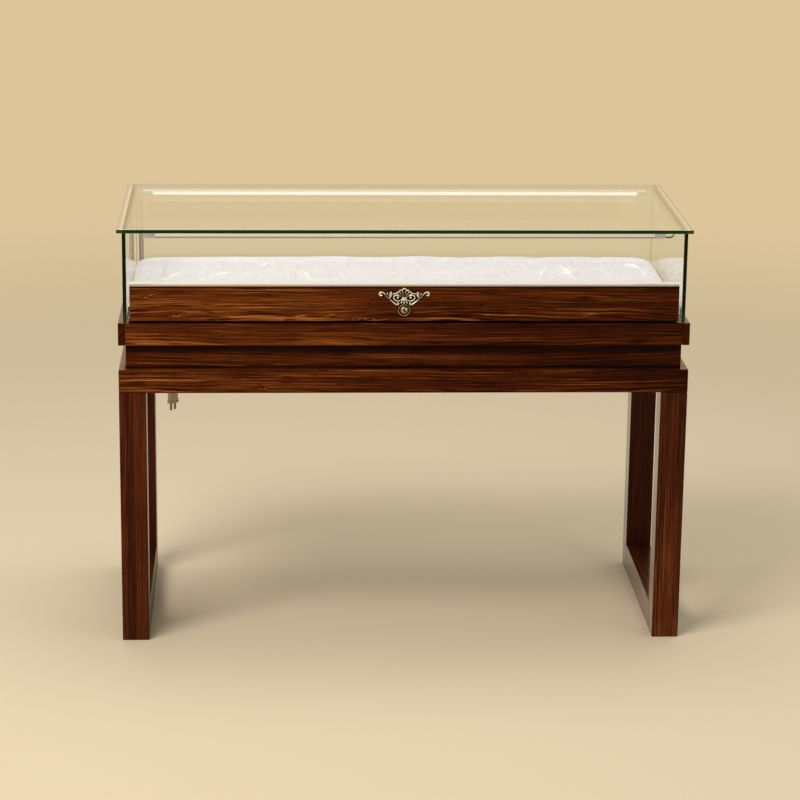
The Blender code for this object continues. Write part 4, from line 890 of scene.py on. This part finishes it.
CREASES = (
    # line on the deck, height, width, how much it catches the light
    (((-0.531, 0.205), (-0.529, 0.080), (-0.524, -0.060)), 0.0034, 0.0080, 0.10),
    (((-0.501, 0.205), (-0.499, 0.090), (-0.496, -0.060)), 0.0034, 0.0080, 0.10),
    (((-0.516, 0.215), (-0.514, 0.090), (-0.511, -0.080)), 0.0, 0.0110, -0.60),
    (((-0.522, 0.020), (-0.505, 0.035), (-0.488, 0.068), (-0.472, 0.105)), 0.0036, 0.0065, 1.0),
    (((-0.435, 0.020), (-0.392, 0.072), (-0.362, 0.115)), 0.0032, 0.0060, 0.7),
    (((-0.305, 0.160), (-0.286, 0.185), (-0.268, 0.180)), 0.0032, 0.0080, 0.9),
    (((-0.219, 0.090), (-0.205, 0.094), (-0.193, 0.022)), 0.0036, 0.0055, 1.0),
    (((0.336, 0.150), (0.321, 0.098), (0.311, 0.042)), 0.0032, 0.0060, 0.8),
    (((0.370, 0.170), (0.376, 0.108), (0.382, 0.042)), 0.0036, 0.0060, 1.0),
    (((0.359, 0.080), (0.380, 0.108), (0.396, 0.090)), 0.0032, 0.0060, 0.7),
    (((0.508, 0.175), (0.530, 0.165), (0.540, 0.140)), 0.0036, 0.0070, 0.9),
    (((0.546, 0.105), (0.550, 0.060)), 0.0030, 0.0060, 0.7),
    (((-0.400, -0.150), (-0.350, -0.100), (-0.330, -0.050)), 0.0028, 0.0080, 0.6),
    (((-0.120, -0.170), (-0.080, -0.120), (-0.060, -0.040)), 0.0028, 0.0080, 0.6),
    (((0.050, 0.060), (0.100, 0.100), (0.170, 0.110)), 0.0026, 0.0100, 0.4),
    (((0.140, -0.160), (0.200, -0.120), (0.230, -0.060)), 0.0028, 0.0080, 0.6),
    (((0.420, -0.170), (0.450, -0.110), (0.460, -0.030)), 0.0028, 0.0080, 0.6),
)


def crease_at(place):
    """How far the listed creases lift the cloth at a place, and how much they catch the light there."""
    lift = 0.0
    shine = 0.0
    for line, height, width, catch in CREASES:
        reach = 4 * width
        places = [point[0] for point in line]
        if not min(places) - reach < place.x < max(places) + reach:
            continue
        best = 0.0
        count = len(line) - 1
        for index in range(count):
            start = Vector(line[index])
            run = Vector(line[index + 1]) - start
            part = min(1.0, max(0.0, (place.xy - start).dot(run) / run.length_squared))
            away = (place.xy - start - run * part).length
            taper = sin(pi * min(1.0, max(0.0, 0.06 + 0.88 * (index + part) / count))) ** 0.5
            best = max(best, taper * exp(-((away / width) ** 1.5)))
        lift += height * best
        shine += catch * best * (0.75 + 0.5 * noise.noise((place.x * 70.0, place.y * 50.0, 1.0)))
    return lift, shine


def loose_sheet(name, half, front, rear, level):
    """The flat of the cloth on the deck, laid with a little slack and with its border marked as held."""
    bm = bmesh.new()
    bmesh.ops.create_grid(bm, x_segments=190, y_segments=72, size=1.0)
    span = Vector((half, (rear - front) / 2, 1.0))
    bmesh.ops.scale(bm, vec=span, verts=bm.verts)
    bmesh.ops.translate(bm, vec=(0.0, (front + rear) / 2, level), verts=bm.verts)
    held = bm.verts.layers.deform.verify()
    for vert in bm.verts:
        across = vert.co.x
        along = (vert.co.y - front) / (rear - front)
        ease = 1 - exp((abs(across) - half) / 0.018)
        wave = 0.0020 * noise.noise((across * 9.0, 0.3, 0.0)) + 0.0012 * noise.noise((across * 26.0, 2.3, 0.0))
        ripple = noise.noise((across * 20.0, along * 3.0, 5.0)) + 0.6 * noise.noise((across * 50.0, along * 6.0, 9.0))
        slack = 0.0030 * max(0.0, ripple) * (1 - abs(2 * along - 1))
        vert.co.z += ease * ((0.0100 + wave) * along**5 + slack)
        if abs(across) > half * 0.999 or along < 0.001 or along > 0.999:
            vert[held][0] = 1.0
    cloth = mesh_object(bm, name, white_satin("white_satin"))
    cloth.vertex_groups.new(name="held")
    return cloth


HANG = (
    # share of the way out to the pane, and drop below the deck's face
    (0.45, 0.0004),
    (0.80, 0.0014),
    (0.96, 0.0032),
    (1.00, 0.0070),
    (1.00, 0.0120),
    (0.99, 0.0170),
    (0.97, 0.0222),
)


def hang_ends(bm, crest, half, level, bulge):
    """Grows the two ends of the cloth out over the deck's edges and down beside them."""
    ends = []
    for edge in bm.edges:
        if edge.is_boundary and all(abs(vert.co.x) > half - 0.0004 for vert in edge.verts):
            ends.append(edge)
    for out, drop in HANG:
        grown = bmesh.ops.extrude_edge_only(bm, edges=ends)["geom"]
        ends = [part for part in grown if isinstance(part, bmesh.types.BMEdge)]
        for vert in grown:
            if isinstance(vert, bmesh.types.BMVert):
                side = 1 if vert.co.x > 0 else -1
                sway = 0.0005 * noise.noise((vert.co.y * 30.0, side * 3.0, 0.0)) * min(1.0, drop / 0.01)
                vert.co.x = side * (half + bulge * out - abs(sway))
                vert.co.z = level - drop
                # A painted highlight on the hanging ends, through the crest attribute.
                vert[crest] = min(1.0, drop / 0.004)


def sort_by_corners(bm):
    """Puts edges and faces in one fixed order, because extruding leaves them in a different one on each run."""
    bm.verts.index_update()
    count = len(bm.verts)

    def rank(part):
        """A number of its own for each edge or face, from its first three corners."""
        number = 0
        for index in sorted(vert.index for vert in part.verts)[:3]:
            number = number * count + index
        return number

    bm.edges.sort(key=rank)
    bm.faces.sort(key=rank)


def make_display_cloth():
    """A satin sheet bunched a little on the deck, with its ends hanging down beside the deck."""
    deck_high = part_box("drawer_deck")[1]
    cloth_low, cloth_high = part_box("display_cloth")
    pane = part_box("glass_right")[0].x
    half = deck_high.x - 0.0012
    front = cloth_low.y + 0.0008
    rear = cloth_high.y - 0.0008
    level = deck_high.z + 0.0012
    crown = deck_high.z + 0.0135
    cloth = loose_sheet("satin_cloth", half, front, rear, level)
    settle(cloth, deck_high.z, frames=45)
    bm = bmesh.new()
    bm.from_mesh(cloth.data)
    crest = bm.verts.layers.float.new("crest")
    bmesh.ops.subdivide_edges(bm, edges=bm.edges, cuts=1, use_grid_fill=True)
    loose = [vert for vert in bm.verts if not vert.is_boundary]
    bmesh.ops.smooth_vert(bm, verts=loose, factor=0.5, use_axis_x=True, use_axis_y=True, use_axis_z=True)
    for vert in loose:
        inward = min(1.0, (half - abs(vert.co.x)) / 0.02)
        lift, shine = crease_at(vert.co)
        vert.co.z += inward * lift
        # Each crease's painted light goes into the crest attribute: highlight above nought, shade below.
        vert[crest] = inward * shine
    hang_ends(bm, crest, half, level, pane - 0.0012 - half)
    sort_by_corners(bm)
    for vert in bm.verts:
        vert.co.z = min(vert.co.z, crown)
    bm.to_mesh(cloth.data)
    bm.free()
    cloth.data.shade_smooth()
    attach(cloth, "drawer")
    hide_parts("display_cloth")


def ribbon(points, radii):
    """A mesh swept along a smooth line, as thick at each point as its radius says, in millimetres about the lock."""
    curve = bpy.data.curves.new("ribbon", "CURVE")
    curve.dimensions = "3D"
    curve.bevel_depth = 1.0
    curve.bevel_resolution = 3
    curve.use_fill_caps = True
    curve.resolution_u = 8
    spline = curve.splines.new("NURBS")
    spline.points.add(len(points) - 1)
    for knot, (across, up), radius in zip(spline.points, points, radii):
        knot.co = (across, -1.0 - 0.5 * radius, up, 1.0)
        knot.radius = radius
    spline.use_endpoint_u = True
    spline.order_u = 3
    swept = bpy.data.objects.new("ribbon", curve)
    bpy.context.scene.collection.objects.link(swept)
    data = bpy.data.meshes.new_from_object(swept.evaluated_get(bpy.context.evaluated_depsgraph_get()))
    bpy.data.objects.remove(swept, do_unlink=True)
    return data


# Lines on the plate, in millimetres from the lock's middle, and their radii. The scrolls are made on both sides.
SCROLLS = (
    (
        ((15.2, 16.8), (11.6, 16.4), (11.6, 12.4), (16.6, 12.0), (22.2, 16.2), (30.0, 23.4), (36.6, 29.0))
        + ((40.6, 34.6), (45.6, 39.0), (51.0, 37.6), (51.8, 32.6), (48.2, 30.4), (46.4, 33.4)),
        (1.0, 1.4, 1.8, 2.0, 1.5, 1.05, 1.0, 1.3, 1.8, 2.2, 2.1, 1.7, 1.2),
    ),
    (((31.6, 24.6), (29.2, 29.0), (27.6, 34.4), (28.6, 39.2)), (1.0, 2.1, 3.1, 2.5)),
    (((32.2, 28.4), (33.4, 33.0), (36.2, 36.8)), (0.7, 1.1, 1.8)),
    (((24.4, 29.0), (23.4, 33.4), (21.8, 37.0)), (0.7, 1.2, 1.8)),
    (
        ((5.0, 22.2), (11.0, 19.6), (18.4, 20.6), (22.6, 25.4), (21.0, 30.8), (16.0, 32.8), (11.6, 30.0))
        + ((12.4, 26.0), (15.4, 25.8)),
        (1.0, 1.5, 1.7, 1.6, 1.6, 1.5, 1.4, 1.4, 1.4),
    ),
    (((11.4, 24.2), (13.6, 26.2), (14.6, 28.4)), (1.0, 1.6, 1.2)),
    (
        ((0.0, 46.8), (3.8, 45.4), (3.8, 42.0), (7.8, 43.4), (10.2, 41.2), (9.4, 38.4), (13.6, 39.4))
        + ((15.8, 37.0), (14.8, 34.8), (18.8, 36.4), (21.2, 34.8)),
        (1.7, 1.6, 1.2, 1.7, 1.5, 1.1, 1.6, 1.5, 1.1, 1.6, 1.2),
    ),
    (((1.0, 28.6), (2.4, 34.6), (3.8, 41.6)), (0.9, 1.1, 1.3)),
    (((3.0, 28.4), (6.0, 33.6), (9.4, 38.2)), (0.9, 1.1, 1.3)),
    (((4.6, 27.6), (9.6, 31.8), (14.8, 34.8)), (0.9, 1.1, 1.3)),
    (((3.2, 21.0), (4.8, 18.2), (6.6, 15.2)), (0.9, 1.4, 1.8)),
)
BOSSES = (
    (((-7.4, 22.2), (-3.0, 22.2), (3.0, 22.2), (7.4, 22.2)), (0.8, 2.3, 2.3, 0.8)),
    (((-5.4, 25.6), (-2.4, 26.2), (2.4, 26.2), (5.4, 25.6)), (1.2, 2.0, 2.0, 1.2)),
    (((0.0, 21.0), (0.0, 17.6), (0.0, 14.2)), (0.9, 1.5, 1.8)),
)
RING = (11.9, 1.05)


def make_escutcheon():
    """A cast shell between leafy scrolls over a stepped ring, fused from swept pieces on the pierced plate."""
    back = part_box("escutcheon")[1].y
    lock_low, lock_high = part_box("lock_housing")
    centre = Vector(((lock_low.x + lock_high.x) / 2, back, (lock_low.z + lock_high.z) / 2))
    crest = lock_low.y + 0.0001
    thinned = 0.45
    ring_steps = 24
    bm = bmesh.new()
    bm.from_mesh(nodes["escutcheon"].data)
    bmesh.ops.remove_doubles(bm, verts=bm.verts, dist=1e-6)
    bmesh.ops.translate(bm, vec=-centre, verts=bm.verts)
    bmesh.ops.scale(bm, vec=(1 / MM, thinned / MM, 1 / MM), verts=bm.verts)
    for points, radii in SCROLLS:
        for side in (-1, 1):
            bm.from_mesh(ribbon([(side * across, up) for across, up in points], radii))
    for points, radii in BOSSES:
        bm.from_mesh(ribbon(points, radii))
    major, minor = RING
    turns = [2 * pi * step / ring_steps for step in range(ring_steps + 3)]
    bm.from_mesh(ribbon([(major * cos(turn), major * sin(turn)) for turn in turns], [minor] * len(turns)))
    bmesh.ops.scale(bm, vec=(MM, MM, MM), verts=bm.verts)
    bmesh.ops.translate(bm, vec=centre, verts=bm.verts)
    for vert in bm.verts:
        vert.co.y = max(vert.co.y, crest)
    bronze = old_bronze("old_bronze", centre.y - 0.0012, crest)
    rough_cast = mesh_object(bm, "rough_cast", bronze)
    fuse = rough_cast.modifiers.new("fuse", "REMESH")
    fuse.mode = "VOXEL"
    fuse.voxel_size = 0.00030
    soften = rough_cast.modifiers.new("soften", "SMOOTH")
    soften.factor = 0.5
    soften.iterations = 2
    shown = rough_cast.evaluated_get(bpy.context.evaluated_depsgraph_get())
    data = bpy.data.meshes.new_from_object(shown)
    bpy.data.objects.remove(rough_cast, do_unlink=True)
    data.shade_smooth()
    cast = bpy.data.objects.new("cast_escutcheon", data)
    bpy.context.scene.collection.objects.link(cast)
    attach(cast, "drawer")
    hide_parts("escutcheon")


BACKDROP = (0.72, 0.56, 0.33, 1.0)


def make_floor():
    """A pale floor that fades into the backdrop's colour."""
    finish = Finish("pale_floor")
    along, aside = finish.parts(finish.place())[:2]
    away = (along * along + aside * aside).root().step(1.4, 4.5)
    near = finish.principled(Base_Color=(0.67, 0.56, 0.38, 1.0), Roughness=0.8, Specular_IOR_Level=0.2)
    far = finish.node("ShaderNodeEmission", sockets={"Color": BACKDROP, "Strength": 1.0})
    material = finish.show(finish.node("ShaderNodeMixShader", sockets={0: away, 1: near, 2: far}))
    bm = bmesh.new()
    bmesh.ops.create_grid(bm, x_segments=1, y_segments=1, size=40.0)
    floor = mesh_object(bm, "floor", material)


LIT_POINT = Vector((0.0, 0.0, 0.6))
SOFTBOXES = (
    # name, place, size, power, colour, whether glass and lacquer mirror it
    ("key_softbox", (-2.2, -2.6, 4.3), (2.4, 1.8), 170, (1.0, 0.97, 0.93), True),
    ("fill_softbox", (3.2, -2.6, 2.6), (2.4, 2.4), 20, (1.0, 0.98, 0.95), True),
    ("top_softbox", (0.2, 0.6, 3.6), (3.0, 1.6), 50, (1.0, 0.98, 0.95), False),
)


def make_softboxes():
    """The lamps, all turned to the same point of the case."""
    for name, place, size, power, colour, mirrored in SOFTBOXES:
        data = bpy.data.lights.new(name, "AREA")
        data.shape = "RECTANGLE"
        data.size, data.size_y = size
        data.energy = power
        data.color = colour
        lamp = bpy.data.objects.new(name, data)
        bpy.context.scene.collection.objects.link(lamp)
        aim = (LIT_POINT - Vector(place)).to_track_quat("-Z", "Y")
        lamp.matrix_world = Matrix.Translation(place) @ aim.to_matrix().to_4x4()
        lamp.visible_glossy = mirrored


def make_world():
    """A soft cool light all round, behind which the camera and mirrors see the backdrop's colour."""
    world = bpy.data.worlds.new("studio")
    bpy.context.scene.world = world
    studio = NodeTree(world)
    soft = studio.node("ShaderNodeBackground", sockets={"Color": (0.95, 0.96, 1.0, 1.0), "Strength": 0.42})
    backdrop = studio.node("ShaderNodeBackground", sockets={"Color": BACKDROP, "Strength": 1.0})
    share = studio.node("ShaderNodeLightPath", out="Is Camera Ray")
    for kind in ("Is Glossy Ray", "Is Transmission Ray"):
        share = share.math("MAXIMUM", share, studio.node("ShaderNodeLightPath", out=kind))
    mixed = studio.node("ShaderNodeMixShader", sockets={0: share, 1: soft, 2: backdrop})
    studio.node("ShaderNodeOutputWorld", sockets={"Surface": mixed})
    bpy.context.scene.view_settings.view_transform = "Standard"


make_camera()
make_mains_cord()
make_link_wires()
dress_boards()
dress_sides()
dress_legs()
dress_glass()
dress_lights()
dress_hardware()
make_display_cloth()
make_escutcheon()
make_floor()
make_softboxes()
make_world()
